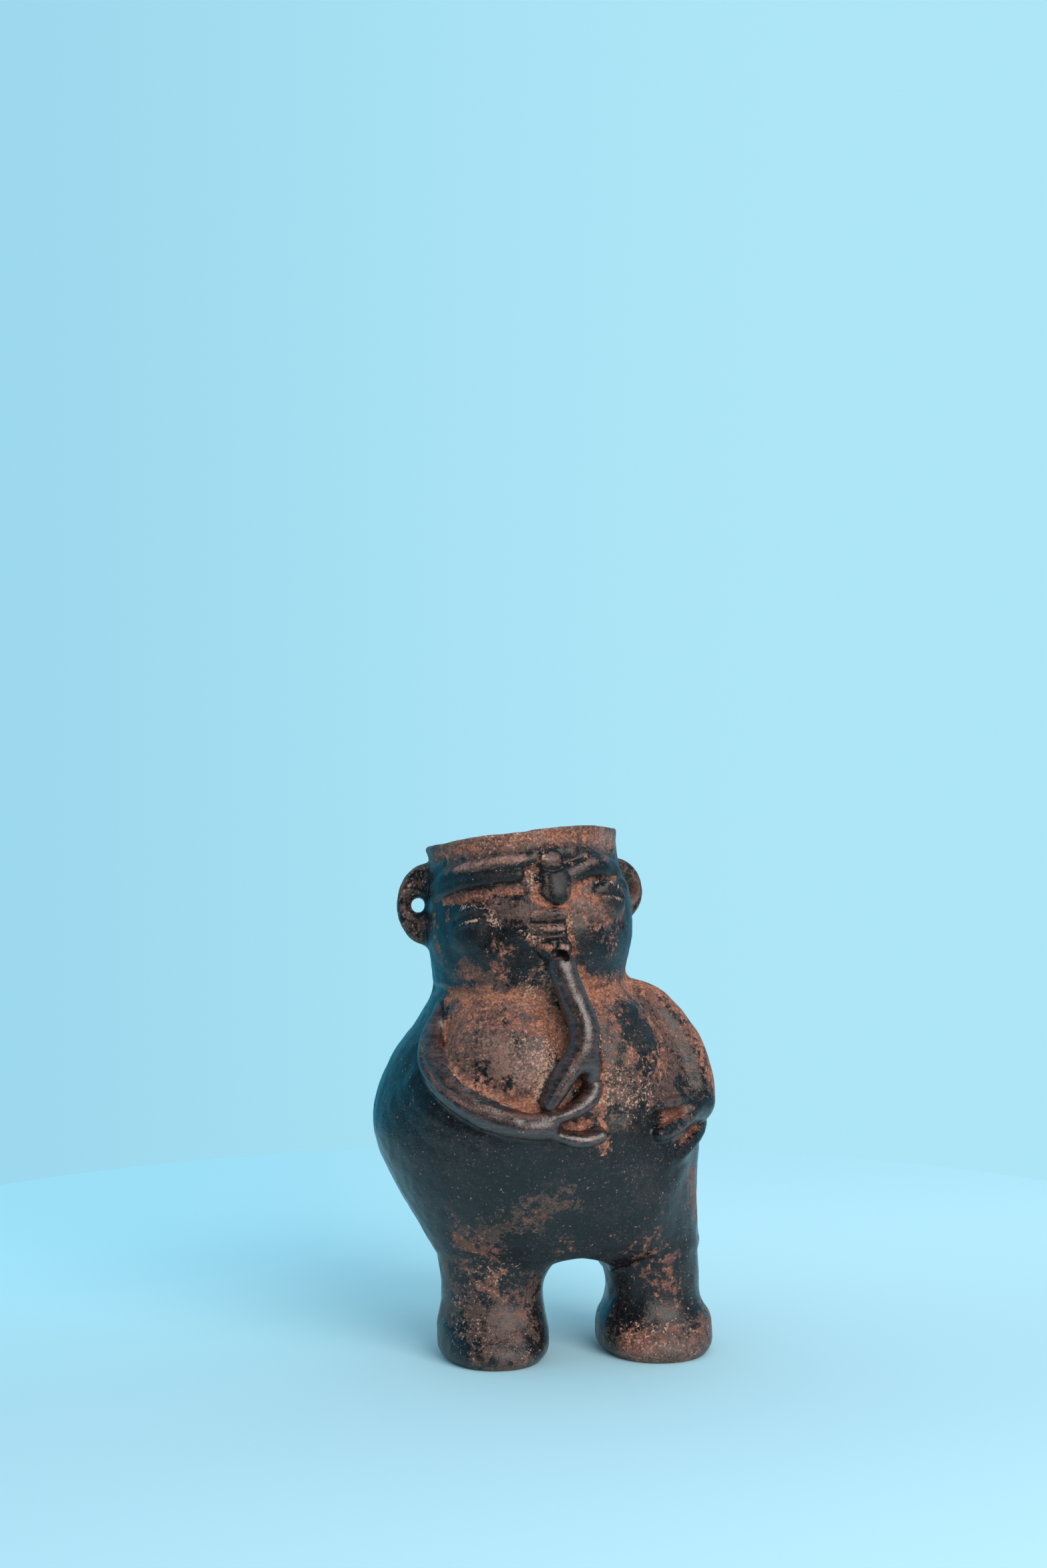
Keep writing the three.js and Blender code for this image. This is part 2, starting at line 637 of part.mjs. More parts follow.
// Every piece by name: its solid and the clay it shows
const PIECES = {
  lower_body: [makeLowerBody(), DARK_CLAY],
  upper_body: [makeUpperBody(), DARK_CLAY],
  head_wall: [makeHeadWall(), DARK_CLAY],
  rim_collar: [makeRimCollar(), RED_CLAY],
  right_leg: [makeLeg(RIGHT_LEG), BROWN_CLAY],
  left_leg: [makeLeg(LEFT_LEG), BROWN_CLAY],
  right_foot: [makeFoot(RIGHT_LEG), BROWN_CLAY],
  left_foot: [makeFoot(LEFT_LEG), BROWN_CLAY],
  right_ear: [makeEar(RIGHT_EAR), DARK_CLAY],
  left_ear: [makeEar(LEFT_EAR), DARK_CLAY],
  headband: [seat(coil(HEADBAND), domeCutter(KNOB), coilCutter(NOSE)), RED_CLAY],
  right_brow: [seat(coil(RIGHT_BROW), coilCutter(HEADBAND), coilCutter(NOSE)), DARK_CLAY],
  left_brow: [seat(coil(LEFT_BROW), coilCutter(HEADBAND), coilCutter(NOSE)), DARK_CLAY],
  forehead_knob: [seat(dome(KNOB)), BROWN_CLAY],
  nose: [seat(coil(NOSE), domeCutter(KNOB)), DARK_CLAY],
  right_eye: [makeEye(RIGHT_EYE), DARK_CLAY],
  left_eye: [makeEye(LEFT_EYE), DARK_CLAY],
  upper_lip: [seat(coil(UPPER_LIP), coilCutter(NOSE)), DARK_CLAY],
  lower_lip: [seat(coil(LOWER_LIP), coilCutter(UPPER_LIP)), DARK_CLAY],
  chin_boss: [makeChin(), BROWN_CLAY],
  flute: [seat(coil(FLUTE, { level: true }), domeCutter(CHIN)), DARK_CLAY],
  right_thumb: [seat(coil(RIGHT_THUMB), fluteCutter), DARK_CLAY],
  right_upper_finger: [
    seat(coil(RIGHT_UPPER_FINGER), coilCutter(RIGHT_THUMB), fluteCutter),
    DARK_CLAY,
  ],
  right_arm: [
    seat(coil(RIGHT_ARM), coilCutter(RIGHT_THUMB), coilCutter(RIGHT_UPPER_FINGER)),
    DARK_CLAY,
  ],
  right_lower_finger: [
    seat(coil(RIGHT_LOWER_FINGER), coilCutter(RIGHT_UPPER_FINGER), coilCutter(RIGHT_ARM)),
    DARK_CLAY,
  ],
  right_breast: [seat(dome(RIGHT_BREAST), fluteCutter, coilCutter(RIGHT_ARM)), RED_CLAY],
  left_breast: [seat(dome(LEFT_BREAST), fluteCutter, coilCutter(LEFT_ARM)), RED_CLAY],
  left_arm: [seat(coil(LEFT_ARM)), RED_CLAY],
  left_hand: [seat(coil(LEFT_HAND), coilCutter(LEFT_ARM)), RED_CLAY],
  left_finger_1: [seat(coil(LEFT_FINGER_1), coilCutter(LEFT_ARM), coilCutter(LEFT_HAND)), DARK_CLAY],
  left_finger_2: [seat(coil(LEFT_FINGER_2), coilCutter(LEFT_HAND)), RED_CLAY],
  left_finger_3: [seat(coil(LEFT_FINGER_3), coilCutter(LEFT_HAND), coilCutter(LEFT_ARM)), BROWN_CLAY],
};

function toMesh(name, solid, clay) {
  const mesh = solid.getMesh();
  const geometry = new THREE.BufferGeometry();
  geometry.setAttribute("position", new THREE.BufferAttribute(mesh.vertProperties, 3));
  geometry.setIndex(new THREE.BufferAttribute(mesh.triVerts, 1));
  geometry.computeVertexNormals();
  const material = new THREE.MeshStandardMaterial({ roughness: clay.roughness, metalness: 0 });
  material.color.setRGB(...clay.color);
  const piece = new THREE.Mesh(geometry, material);
  piece.name = name;
  return piece;
}

const figure = new THREE.Group();
for (const [name, [solid, clay]] of Object.entries(PIECES)) {
  figure.add(toMesh(name, solid, clay));
}

// The origin is under the middle of the whole vessel's box
const middle = new THREE.Box3().setFromObject(figure, true).getCenter(new THREE.Vector3());
figure.position.set(-middle.x, -middle.y, 0);

const vessel = new THREE.Group();
vessel.name = "effigy_vessel";
vessel.add(figure);

export default vessel;
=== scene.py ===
import json
import math

import bpy
import numpy as np
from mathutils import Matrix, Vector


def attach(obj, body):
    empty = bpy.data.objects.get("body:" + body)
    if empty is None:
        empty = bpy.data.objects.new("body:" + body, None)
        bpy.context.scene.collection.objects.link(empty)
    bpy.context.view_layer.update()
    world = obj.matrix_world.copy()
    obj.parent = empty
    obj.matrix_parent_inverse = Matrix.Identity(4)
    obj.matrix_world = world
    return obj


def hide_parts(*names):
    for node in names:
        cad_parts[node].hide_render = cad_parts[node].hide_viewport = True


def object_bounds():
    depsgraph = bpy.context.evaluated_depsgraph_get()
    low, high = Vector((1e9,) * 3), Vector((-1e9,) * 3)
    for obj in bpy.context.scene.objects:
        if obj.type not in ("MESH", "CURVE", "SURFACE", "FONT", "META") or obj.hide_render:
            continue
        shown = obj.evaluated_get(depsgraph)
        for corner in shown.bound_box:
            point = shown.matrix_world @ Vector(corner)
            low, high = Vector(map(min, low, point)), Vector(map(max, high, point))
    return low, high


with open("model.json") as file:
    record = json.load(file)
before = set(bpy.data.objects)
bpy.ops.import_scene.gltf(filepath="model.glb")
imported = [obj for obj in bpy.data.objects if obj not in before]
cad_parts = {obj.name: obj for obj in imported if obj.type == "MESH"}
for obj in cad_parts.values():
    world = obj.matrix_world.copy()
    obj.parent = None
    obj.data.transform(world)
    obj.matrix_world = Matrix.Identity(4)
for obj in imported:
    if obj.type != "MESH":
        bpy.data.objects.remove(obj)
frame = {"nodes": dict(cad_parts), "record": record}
cad_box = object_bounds()

# The clay is sculpted as one distance field, in the CAD source's millimetres: negative inside the clay,
# positive outside. The field is then cut into one closed mesh per CAD node. All the meshes share the
# same skin, so no seam shows between two pieces.
#
# A place on the wall is an angle and a height, as in the source: 0 degrees at the front, 90 at the
# figure's left and -90 at its right.

MM = 0.001
SEED = 11

# Sizes that the CAD source has too

FOOT_HEIGHT = 13.0
FLOOR_Z = 39.0
BELLY_SEAM_Z = 78.0
BELLY_Z = 88.0
NECK_Z = 139.0
COLLAR_Z = 184.0
RIM_Z = 195.0

BELLY_THICKNESS = 6.0
FLOOR_THICKNESS = 7.0
HEAD_THICKNESS = 5.0
RIM_THICKNESS = 4.0
LEG_THICKNESS = 6.5

RIM_LEAN_SIDE = 5.5
RIM_LEAN_BACK = 7.0

LEGS_Y = 3.0
LEG_DEPTH_RADIUS = 20.0
TOE_REACH = 30.0
HEEL_REACH = 25.0
SOLE_ROUND = 4.0
INSTEP_CURVE = 1.5
ANKLE_FORWARD = 4.0
ANKLE_BACK = 2.0
ANKLE_SWELL = 10.0
ARCH_HEIGHT = 15.0
ARCH_TOP_X = 16.0
LEG_TOP_INSET = 1.5
LEG_SQUARE = 2.15
RIGHT_LEG = {"x": -19.3, "radius": 19.2, "inner": 1.0, "outer": 2.2, "side": -1}
LEFT_LEG = {"x": 43.1, "radius": 17.8, "inner": 4.4, "outer": 4.2, "side": 1}

EAR_THICKNESS = 7.0
EAR_HOLE_RADIUS = 3.4
EAR_HOLE_OUT = 4.2
EAR_SWEEP = 14.0

# Height, then how far the outside stands to the figure's right, left, front and back, then squareness
WALL = np.array([
    (FLOOR_Z, 40.5, 60.3, 21.5, 26, 2.8),
    (FLOOR_Z + 7, 45, 60.5, 26.5, 33, 2.6),
    (BELLY_Z - 22, 56.8, 60, 39, 50, 2.3),
    (BELLY_Z, 64.3, 60.5, 45, 59, 2.1),
    (BELLY_Z + 24, 58, 54, 41.5, 53, 2.1),
    (BELLY_Z + 40, 47, 42.5, 37, 42, 2.1),
    (NECK_Z, 42.5, 31.5, 36, 35, 2.1),
    (NECK_Z + 21, 44.9, 32.8, 40, 35.5, 2.1),
    (COLLAR_Z - 7, 43.8, 31.6, 38.8, 33.6, 2.1),
    (COLLAR_Z, 44, 28.6, 37, 34, 2),
    (RIM_Z, 45.6, 26.8, 36.5, 36, 2),
])


# The wall's curve

def wall_slopes():
    last = len(WALL) - 1
    above = WALL[np.minimum(np.arange(last + 1) + 1, last)]
    below = WALL[np.maximum(np.arange(last + 1) - 1, 0)]
    return (above[:, 1:] - below[:, 1:]) / (above[:, :1] - below[:, :1])


WALL_SLOPES = wall_slopes()


def wall_sizes(z):
    """The wall's sizes at each height, on the same smooth curve as the source's."""
    z = np.asarray(z, dtype=float)
    heights = WALL[:, 0]
    i = np.clip(np.searchsorted(heights, z, side="right") - 1, 0, len(heights) - 2)
    rise = (heights[i + 1] - heights[i])[..., None]
    t = np.clip((z - heights[i])[..., None] / rise, 0, 1)
    start = (2 * t**3 - 3 * t**2 + 1) * WALL[i, 1:]
    leave = (t**3 - 2 * t**2 + t) * rise * WALL_SLOPES[i]
    end = (3 * t**2 - 2 * t**3) * WALL[i + 1, 1:]
    arrive = (t**3 - t**2) * rise * WALL_SLOPES[i + 1]
    over = np.maximum(z - heights[-1], 0)[..., None]
    return start + leave + end + arrive + over * WALL_SLOPES[-1]


def wall_point(angle, z, out=0.0):
    """A point on the wall's outside, or as far out from it as asked."""
    right, left, front, back, square = wall_sizes(z)
    across = math.sin(math.radians(angle))
    ahead = math.cos(math.radians(angle))
    x = math.copysign(abs(across) ** (2 / square), across)
    y = -math.copysign(abs(ahead) ** (2 / square), ahead)
    point = np.array([
        (left - right) / 2 + x * (left + right) / 2,
        (back - front) / 2 + y * (back + front) / 2,
        z,
    ])
    if out:
        point = point + out * wall_normal(angle, z)
    return point


def unit(vector):
    return vector / np.linalg.norm(vector)


def wall_normal(angle, z):
    around = wall_point(angle + 1, z) - wall_point(angle - 1, z)
    upwards = wall_point(angle, z + 1) - wall_point(angle, z - 1)
    return unit(np.cross(around, upwards))


def path_points(path):
    """Points of a path along the wall. Each stop is an angle, a height and maybe how far out it lies."""
    return np.array([wall_point(*stop) for stop in path])


# Grid

COARSE = 1.0
FINE_STEP = 0.52 * COARSE
BACK_STEP = 0.95 * COARSE
LEG_STEP = 0.85 * COARSE
BELLY_STEP = 0.75 * COARSE
FINE_UP_TO_Y = -12.0
STEP_GROWS_OVER = 12.0
LEGS_UP_TO_Z = FLOOR_Z - 4
GRID_LOW = (-66.5, -54.5, -1.2)
GRID_HIGH = (66.8, 61.0, 202.6)


def graded(low, high, step_at):
    """Positions from low to high, at the step that holds at each."""
    places = [low]
    while places[-1] < high:
        places.append(places[-1] + step_at(places[-1]))
    return np.array(places, dtype=np.float32)


def step_back(y):
    ease = min(max((y - FINE_UP_TO_Y) / STEP_GROWS_OVER, 0), 1)
    return FINE_STEP + ease * (BACK_STEP - FINE_STEP)


def step_up(z):
    if z < LEGS_UP_TO_Z:
        return LEG_STEP
    return BELLY_STEP if z < BELLY_SEAM_Z else FINE_STEP


AXES = (
    graded(GRID_LOW[0], GRID_HIGH[0], lambda x: FINE_STEP),
    graded(GRID_LOW[1], GRID_HIGH[1], step_back),
    graded(GRID_LOW[2], GRID_HIGH[2], step_up),
)


def part_of_grid(low, high):
    """Slices of the grid that cover a box."""
    return tuple(
        slice(max(int(np.searchsorted(axis, a)) - 1, 0), min(int(np.searchsorted(axis, b)) + 1, len(axis)))
        for axis, a, b in zip(AXES, low, high)
    )


def coordinates(part):
    """The x, y and z of a part of the grid, each as a thin array that broadcasts."""
    x, y, z = (axis[piece] for axis, piece in zip(AXES, part))
    return x[:, None, None], y[None, :, None], z[None, None, :]


WHOLE = tuple(slice(0, len(axis)) for axis in AXES)


# Distances and how they are joined

def smooth_min(a, b, radius):
    """The smaller of two distances, with a round blend where they meet."""
    blend = np.clip(0.5 + 0.5 * (b - a) / radius, 0, 1)
    return b + (a - b) * blend - radius * blend * (1 - blend)


def smooth_max(a, b, radius):
    return -smooth_min(-a, -b, radius)


def oval_share(x, y, sizes):
    """How far out a point lies in an oval section, as a share: 1 on the outline."""
    right, left, front, back, square = (sizes[..., i].astype(np.float32) for i in range(5))
    u = np.abs(x - (left - right) / 2) / ((left + right) / 2)
    v = np.abs(y - (back - front) / 2) / ((back + front) / 2)
    return (u**square + v**square) ** (1 / square)


def share_distance(share, part):
    """Distance from the surface where a share is 1."""
    axes = [axis[piece] for axis, piece in zip(AXES, part)]
    steep = np.zeros_like(share)
    for direction, axis in enumerate(axes):
        steep += np.gradient(share, axis, axis=direction).astype(np.float32) ** 2
    return (share - 1) / np.maximum(np.sqrt(steep), 1e-3)


def ellipsoid_distance(offsets, radii):
    """Distance from an ellipsoid, or from an ellipse, about its middle."""
    near = sum((o / r) ** 2 for o, r in zip(offsets, radii)) ** 0.5
    slope = sum((o / r**2) ** 2 for o, r in zip(offsets, radii)) ** 0.5
    return near * (near - 1) / np.maximum(slope, 1e-4)


def offsets_from(origin, *places):
    return [place - np.float32(start) for place, start in zip(places, origin)]


def along_axes(x, y, z, origin, axes):
    """A grid's offsets from an origin, along the axes given."""
    offsets = offsets_from(origin, x, y, z)
    return [sum(offset * np.float32(share) for offset, share in zip(offsets, axis)) for axis in axes]


def polyline_distance(x, y, z, points):
    """Distance from a run of straight stretches."""
    nearest = None
    for a, b in zip(points[:-1], points[1:]):
        span = (b - a).astype(np.float32)
        offsets = offsets_from(a, x, y, z)
        share = np.clip(sum(o * s for o, s in zip(offsets, span)) / float(span @ span), 0, 1)
        gap = sum((o - share * s) ** 2 for o, s in zip(offsets, span))
        nearest = gap if nearest is None else np.minimum(nearest, gap)
    return np.sqrt(nearest)


# Rods and domes

# A distance beyond any other, and how far beyond a piece its own distance is worked out
FAR = 1e3
MARGIN = 9.0

# The longest share of a rod that an end cap takes, the least gap between its rings and the fewest of them,
# and the share over which its direction is measured
LONGEST_CAP = 0.3
ROD_STEP = 2.2
FEWEST_RINGS = 4
DIRECTION_SHARE = 0.02


def spline(values, share):
    """The source's curve through evenly spaced values."""
    last = len(values) - 1
    i = min(int(share * last), last - 1)
    t = share * last - i
    before, here = values[max(i - 1, 0)], values[i]
    ahead, beyond = values[i + 1], values[min(i + 2, last)]
    leave, arrive = (ahead - before) / 2, (beyond - here) / 2
    cubic = (2 * here - 2 * ahead + leave + arrive) * t**3
    square = (3 * ahead - 3 * here - 2 * leave - arrive) * t**2
    return cubic + square + leave * t + here


def rod_rings(stations, level):
    """Middle, side, outward, half width and half depth of a rod, at even steps."""
    columns = np.array(stations, dtype=float).T

    def placed(share):
        angle, z, wide, deep, out = (spline(column, share) for column in columns)
        normal = wall_normal(angle, z)
        if level:
            normal = unit(normal * (1, 1, 0))
        return wall_point(angle, z) + out * normal, normal, wide, deep

    knots = [placed(share)[0] for share in np.linspace(0, 1, len(stations))]
    length = sum(np.linalg.norm(b - a) for a, b in zip(knots[:-1], knots[1:]))
    cap = min(LONGEST_CAP, placed(0)[2] / length)
    rings = []
    for share in np.linspace(cap, 1 - cap, max(FEWEST_RINGS, int(length / ROD_STEP))):
        middle, normal, wide, deep = placed(share)
        ahead, behind = min(1, share + DIRECTION_SHARE), max(0, share - DIRECTION_SHARE)
        along = unit(placed(ahead)[0] - placed(behind)[0])
        side = unit(np.cross(normal, along))
        rings.append((middle, side, np.cross(along, side), along, wide, deep))
    return rings


def rod(base, stations, level=False):
    """A round-ended rod laid along the wall, as its part of the grid and its distance there.

    Its stations' heights start at a base. A level rod stands straight out from the wall.
    """
    rings = rod_rings([(angle, base + up, *sizes) for angle, up, *sizes in stations], level)
    middles = np.array([ring[0] for ring in rings])
    reach = max(max(ring[4], ring[5]) for ring in rings) + MARGIN
    part = part_of_grid(middles.min(axis=0) - reach, middles.max(axis=0) + reach)
    distance = np.full([piece.stop - piece.start for piece in part], FAR, dtype=np.float32)
    for start, stop in zip(rings[:-1], rings[1:]):
        a, b = start[0], stop[0]
        reach = max(start[4], start[5], stop[4], stop[5]) + MARGIN
        near = part_of_grid(np.minimum(a, b) - reach, np.maximum(a, b) + reach)
        near = tuple(slice(max(n.start, p.start), min(n.stop, p.stop)) for n, p in zip(near, part))
        x, y, z = coordinates(near)
        span = b - a
        share = np.clip(along_axes(x, y, z, a, [span])[0] / float(span @ span), 0, 1)
        axes = [unit(start[i] + stop[i]) for i in (1, 2, 3)]
        offsets = along_axes(x, y, z, a, axes)
        offsets = [offset - share * float(span @ axis) for offset, axis in zip(offsets, axes)]
        wide, deep = (start[i] + share * (stop[i] - start[i]) for i in (4, 5))
        local = tuple(slice(n.start - p.start, n.stop - p.start) for n, p in zip(near, part))
        here = ellipsoid_distance(offsets, (wide, deep, wide))
        distance[local] = np.minimum(distance[local], here)
    return part, distance


def on_wall(angle, z, tilt=0.0):
    """Sideways, upwards and outward directions at a place on the wall, turned by a tilt."""
    normal = wall_normal(angle, z)
    side = unit(np.cross((0, 0, 1), normal))
    upwards = np.cross(normal, side)
    turn = math.radians(tilt)
    turned = math.cos(turn) * side + math.sin(turn) * upwards
    return turned, np.cross(normal, turned), normal


def ellipsoid(angle, z, radii, out=0.0, tilt=0.0):
    """A ball stretched along the wall's own directions."""
    middle = wall_point(angle, z, out)
    reach = max(radii) + MARGIN
    part = part_of_grid(middle - reach, middle + reach)
    offsets = along_axes(*coordinates(part), middle, on_wall(angle, z, tilt))
    return part, ellipsoid_distance(offsets, radii).astype(np.float32)


def dome(angle, z, wide, high, proud, tilt=0.0):
    """A low swelling whose middle lies on the wall, turned by a tilt."""
    return ellipsoid(angle, z, (wide, high, proud), tilt=tilt)


EAR_EDGE_ROUND = 2.9
EAR_HOLE_ROUND = 1.0
EAR_WAIST = 0.9
EAR_ROOT = 7.0


def ear(angle, z, rim, half_height):
    """A pierced lug with a rounded edge, swept back from the side of the head."""
    root = wall_point(angle, z)
    outwards = math.copysign(1, root[0])
    sweep = math.radians(EAR_SWEEP)
    out = np.array([outwards * math.cos(sweep), math.sin(sweep), 0])
    through = np.array([-out[1], out[0], 0])
    reach = EAR_HOLE_OUT + EAR_HOLE_RADIUS + rim
    size = max(reach, half_height) + MARGIN
    part = part_of_grid(root - size, root + size)
    away, across, up = along_axes(*coordinates(part), root, (out, through, np.array([0, 0, 1.0])))
    lobe = ellipsoid_distance((np.maximum(away, 0), up), (reach, half_height))
    waist = EAR_HOLE_RADIUS - EAR_WAIST * (1 - np.clip(np.abs(across) / (EAR_THICKNESS / 2), 0, 1) ** 2)
    hole = waist - np.sqrt((away - EAR_HOLE_OUT) ** 2 + up**2)
    plan = smooth_max(lobe, hole, EAR_HOLE_ROUND) + EAR_EDGE_ROUND
    thick = np.abs(across) - EAR_THICKNESS / 2 + EAR_EDGE_ROUND
    corner = np.sqrt(np.maximum(plan, 0) ** 2 + np.maximum(thick, 0) ** 2)
    distance = np.minimum(np.maximum(plan, thick), 0) + corner - EAR_EDGE_ROUND
    return part, np.maximum(distance, -away - EAR_ROOT).astype(np.float32)


# Body

def leg_sizes(leg, z):
    """Sizes of a leg and its foot at each height, about the leg's axis."""
    arch_foot = FLOOR_Z - ARCH_HEIGHT
    climb = np.clip((z - arch_foot) / ARCH_HEIGHT, 0, 1)
    arch = 1 - np.sqrt(1 - climb**2)
    swell = climb**2
    ankle = np.clip(1 - (z - FOOT_HEIGHT) / ANKLE_SWELL, 0, 1) ** 2
    below = np.clip(1 - z / SOLE_ROUND, 0, 1)
    inset = SOLE_ROUND * (1 - np.sqrt(1 - below**2))
    instep = np.clip((z - SOLE_ROUND) / (FOOT_HEIGHT - SOLE_ROUND), 0, 1) ** INSTEP_CURVE
    radius = leg["radius"]
    inner_top = abs(ARCH_TOP_X - leg["x"])
    outer_top = WALL[0, 1 if leg["side"] < 0 else 2] - abs(leg["x"])
    inner = radius + arch * (inner_top - radius) + ankle * leg["inner"] - inset
    outer = radius + swell * (outer_top - radius) + ankle * leg["outer"] - inset
    front_and_back = []
    for reach, forward, top in (
        (TOE_REACH, ANKLE_FORWARD, WALL[0, 3] + LEGS_Y - LEG_TOP_INSET),
        (HEEL_REACH, ANKLE_BACK, WALL[0, 4] - LEGS_Y - LEG_TOP_INSET),
    ):
        foot = reach - inset - instep * (reach - LEG_DEPTH_RADIUS - forward)
        shank = LEG_DEPTH_RADIUS + swell * (top - LEG_DEPTH_RADIUS) + ankle * forward
        front_and_back.append(np.where(z < FOOT_HEIGHT, foot, shank))
    right, left = (outer, inner) if leg["side"] < 0 else (inner, outer)
    return np.stack([right, left, *front_and_back, np.full_like(z, LEG_SQUARE)], axis=-1)


SOLE_EDGE_ROUND = 0.6
PROFILE_STEPS = (-2, -1, 0, 1, 2)
BORE_END_ROUND = 2.0
BORE_OVERLAP = 1.0


def leg_distance(leg, part):
    """Distance from a leg and its foot, with a profile that is averaged over nearby heights."""
    x, y, z = coordinates(part)
    sizes = sum(leg_sizes(leg, np.maximum(z + step, np.minimum(z, 0))) for step in PROFILE_STEPS)
    sizes = sizes / len(PROFILE_STEPS)
    share = oval_share(x - np.float32(leg["x"]), y - np.float32(LEGS_Y), sizes)
    return smooth_max(share_distance(share, part), -z, SOLE_EDGE_ROUND)


def leg_bore(leg, part):
    """Distance from a leg's hollow, which opens into the belly."""
    x, y, z = coordinates(part)
    wide = leg["radius"] - LEG_THICKNESS
    deep = LEG_DEPTH_RADIUS - LEG_THICKNESS
    offsets = (x - np.float32(leg["x"]), y - np.float32(LEGS_Y))
    bore = ellipsoid_distance(offsets, (wide, deep))
    ends = np.maximum(FOOT_HEIGHT - z, z - FLOOR_Z - FLOOR_THICKNESS - BORE_OVERLAP)
    return smooth_max(bore + 0 * z, ends + 0 * bore, BORE_END_ROUND)


ARCH_MIDDLE_X = 10.4
ARCH_HALF_WIDTH = 13.0
ARCH_DROP = 7.0
ARCH_FADE = 1.9
ARCH_SLOPE = 1.2


def belly_bottom(x):
    """Height of the belly's underside, drawn down beside each leg so that the gap ends in a round arch."""
    share = np.abs(x - np.float32(ARCH_MIDDLE_X)) / ARCH_HALF_WIDTH
    drop = ARCH_DROP * (1 - np.sqrt(1 - np.clip(share, 0, 1) ** 2))
    return FLOOR_Z - drop * np.clip((ARCH_FADE - share) / (ARCH_FADE - 1), 0, 1)


RIM_UNEVEN = 0.3
RIM_WAVE_ACROSS = 6
RIM_WAVE_ALONG = 5


def rim_height(x, y):
    """Height of the leaning, slightly wavy rim."""
    right, left, front, back = WALL[-1, 1:5]
    across = x - np.float32((left - right) / 2)
    along = y - np.float32((back - front) / 2)
    sideways = across * math.tan(math.radians(RIM_LEAN_SIDE))
    backwards = along * math.tan(math.radians(RIM_LEAN_BACK))
    uneven = RIM_UNEVEN * (np.sin(across / RIM_WAVE_ACROSS) + np.sin(along / RIM_WAVE_ALONG + 1))
    return RIM_Z - RIM_UNEVEN + sideways - backwards + uneven


# Strokes of the modelling tool: how wide each is, how deep it cuts, and the stops of its path, which are
# an angle, a height and maybe how far out from the wall. A negative depth is clay added instead.
SWELLS = [
    # muzzle, cheeks and lower lids
    (12, -2, (-13, 167.5), (-2, 167)),
    (13, -1, (-40, 158), (-34, 156)),
    (8, -1.8, (-50, 161.2), (-42, 161.6)),
    (8, -1.1, (22, 173), (27, 170)),
    (5.5, -0.8, (42, 171), (48, 170)),
    (13, -1.1, (28, 158), (38, 155)),
    # brow at the figure's left, a broad swelling
    (7.5, -1.3, (20, 183), (34, 184.5), (52, 183.5)),
    # gentle folds under the right arm
    (7, -1.5, (-58, 107), (-45, 97.5), (-30, 92), (-14, 89), (-2, 87.6)),
    (7, -0.7, (-62, 103), (-46, 91), (-30, 85.5), (-12, 82.5), (0, 80)),
    # between the left arm and the chest
    (10, -1.8, (60, 132), (62, 120), (61, 108), (58, 100)),
    (8, -1.2, (62, 92), (56, 95)),
    # the right hand stands off the belly
    (6, -1.2, (10, 118), (9, 108), (9, 96), (9, 90)),
    # ridge from the left hand down to the crotch
    (14, -1.6, (50, 86), (46, 76), (38, 66), (30, 56), (22, 46)),
    # shoulder that stands out under the neck
    (6, -0.9, (-84, 134), (-66, 133.5)),
]
CUTS = [
    # crease of the neck
    (3.4, 1.2, (-100, 138.4), (-70, 138.4), (-34, 138.8), (-6, 139)),
    (3.2, 0.9, (14, 139.2), (34, 140), (60, 141), (84, 142)),
    # moat round the right breast, deepest along the arm's inner edge
    (7, 0.9, (-54, 124), (-46, 114), (-36.5, 105), (-25, 99.5), (-12, 97.5)),
    (5, 0.9, (-8, 98), (-1, 103), (1.5, 112), (1.5, 122), (-1, 130), (-12, 135), (-30, 136), (-46, 133)),
    (2.6, 1.2, (-56, 126), (-50.4, 118.4), (-41.5, 108.7), (-32.3, 102.1), (-21.3, 97.8), (-9, 96.6)),
    # under the right brow, under the headband and round the nose
    (3.4, 1.3, (-62, 172.4), (-46, 174.6), (-29, 176.8), (-13, 178)),
    (1.8, 1.1, (-65, 178.4), (-48, 181.8), (-27.5, 184.3), (-9, 185.8)),
    (2, 1, (-5, 189), (-3, 186), (-8, 182.4), (-5.4, 178), (-5, 174.4), (-1.4, 171.6), (4, 171.6),
     (10, 173)),
    (2.6, 1.3, (12, 174.4), (17, 179), (28, 181.4), (39.8, 182), (52, 180.6), (64, 177.6)),
    # hollow of the collar, over the headband
    (4.4, 0.9, (-100, 186.4), (-75, 188), (-50, 191.6), (-28, 194), (0, 196.4), (30, 196), (56, 193)),
    # crack down the left side of the mouth, and the crease beside it
    (1.5, 1.5, (9.8, 170), (10.9, 164.7), (12.1, 159.8), (13.8, 153)),
    (3, 0.7, (14, 155), (19, 149), (24, 142)),
    # left hand's recesses
    (3.4, 2, (36, 92), (45, 93), (58, 93.6)),
    (3.2, 1.7, (44, 81.4), (54, 84.9), (69, 87.6)),
    # hollow between the right hand's fingers
    (3, 1.5, (2, 92.6), (6, 92.4), (10, 94)),
    (3, 1.2, (6, 110), (3.6, 105), (1, 100.6)),
    # beside the nose at the figure's right, where the crease runs to the eye
    (2.4, 0.5, (-8, 171.4), (-16, 172.6), (-26, 173.4)),
    # chip over the breast
    (1.2, 1, (-56.4, 130.1), (-55.4, 129.4)),
]
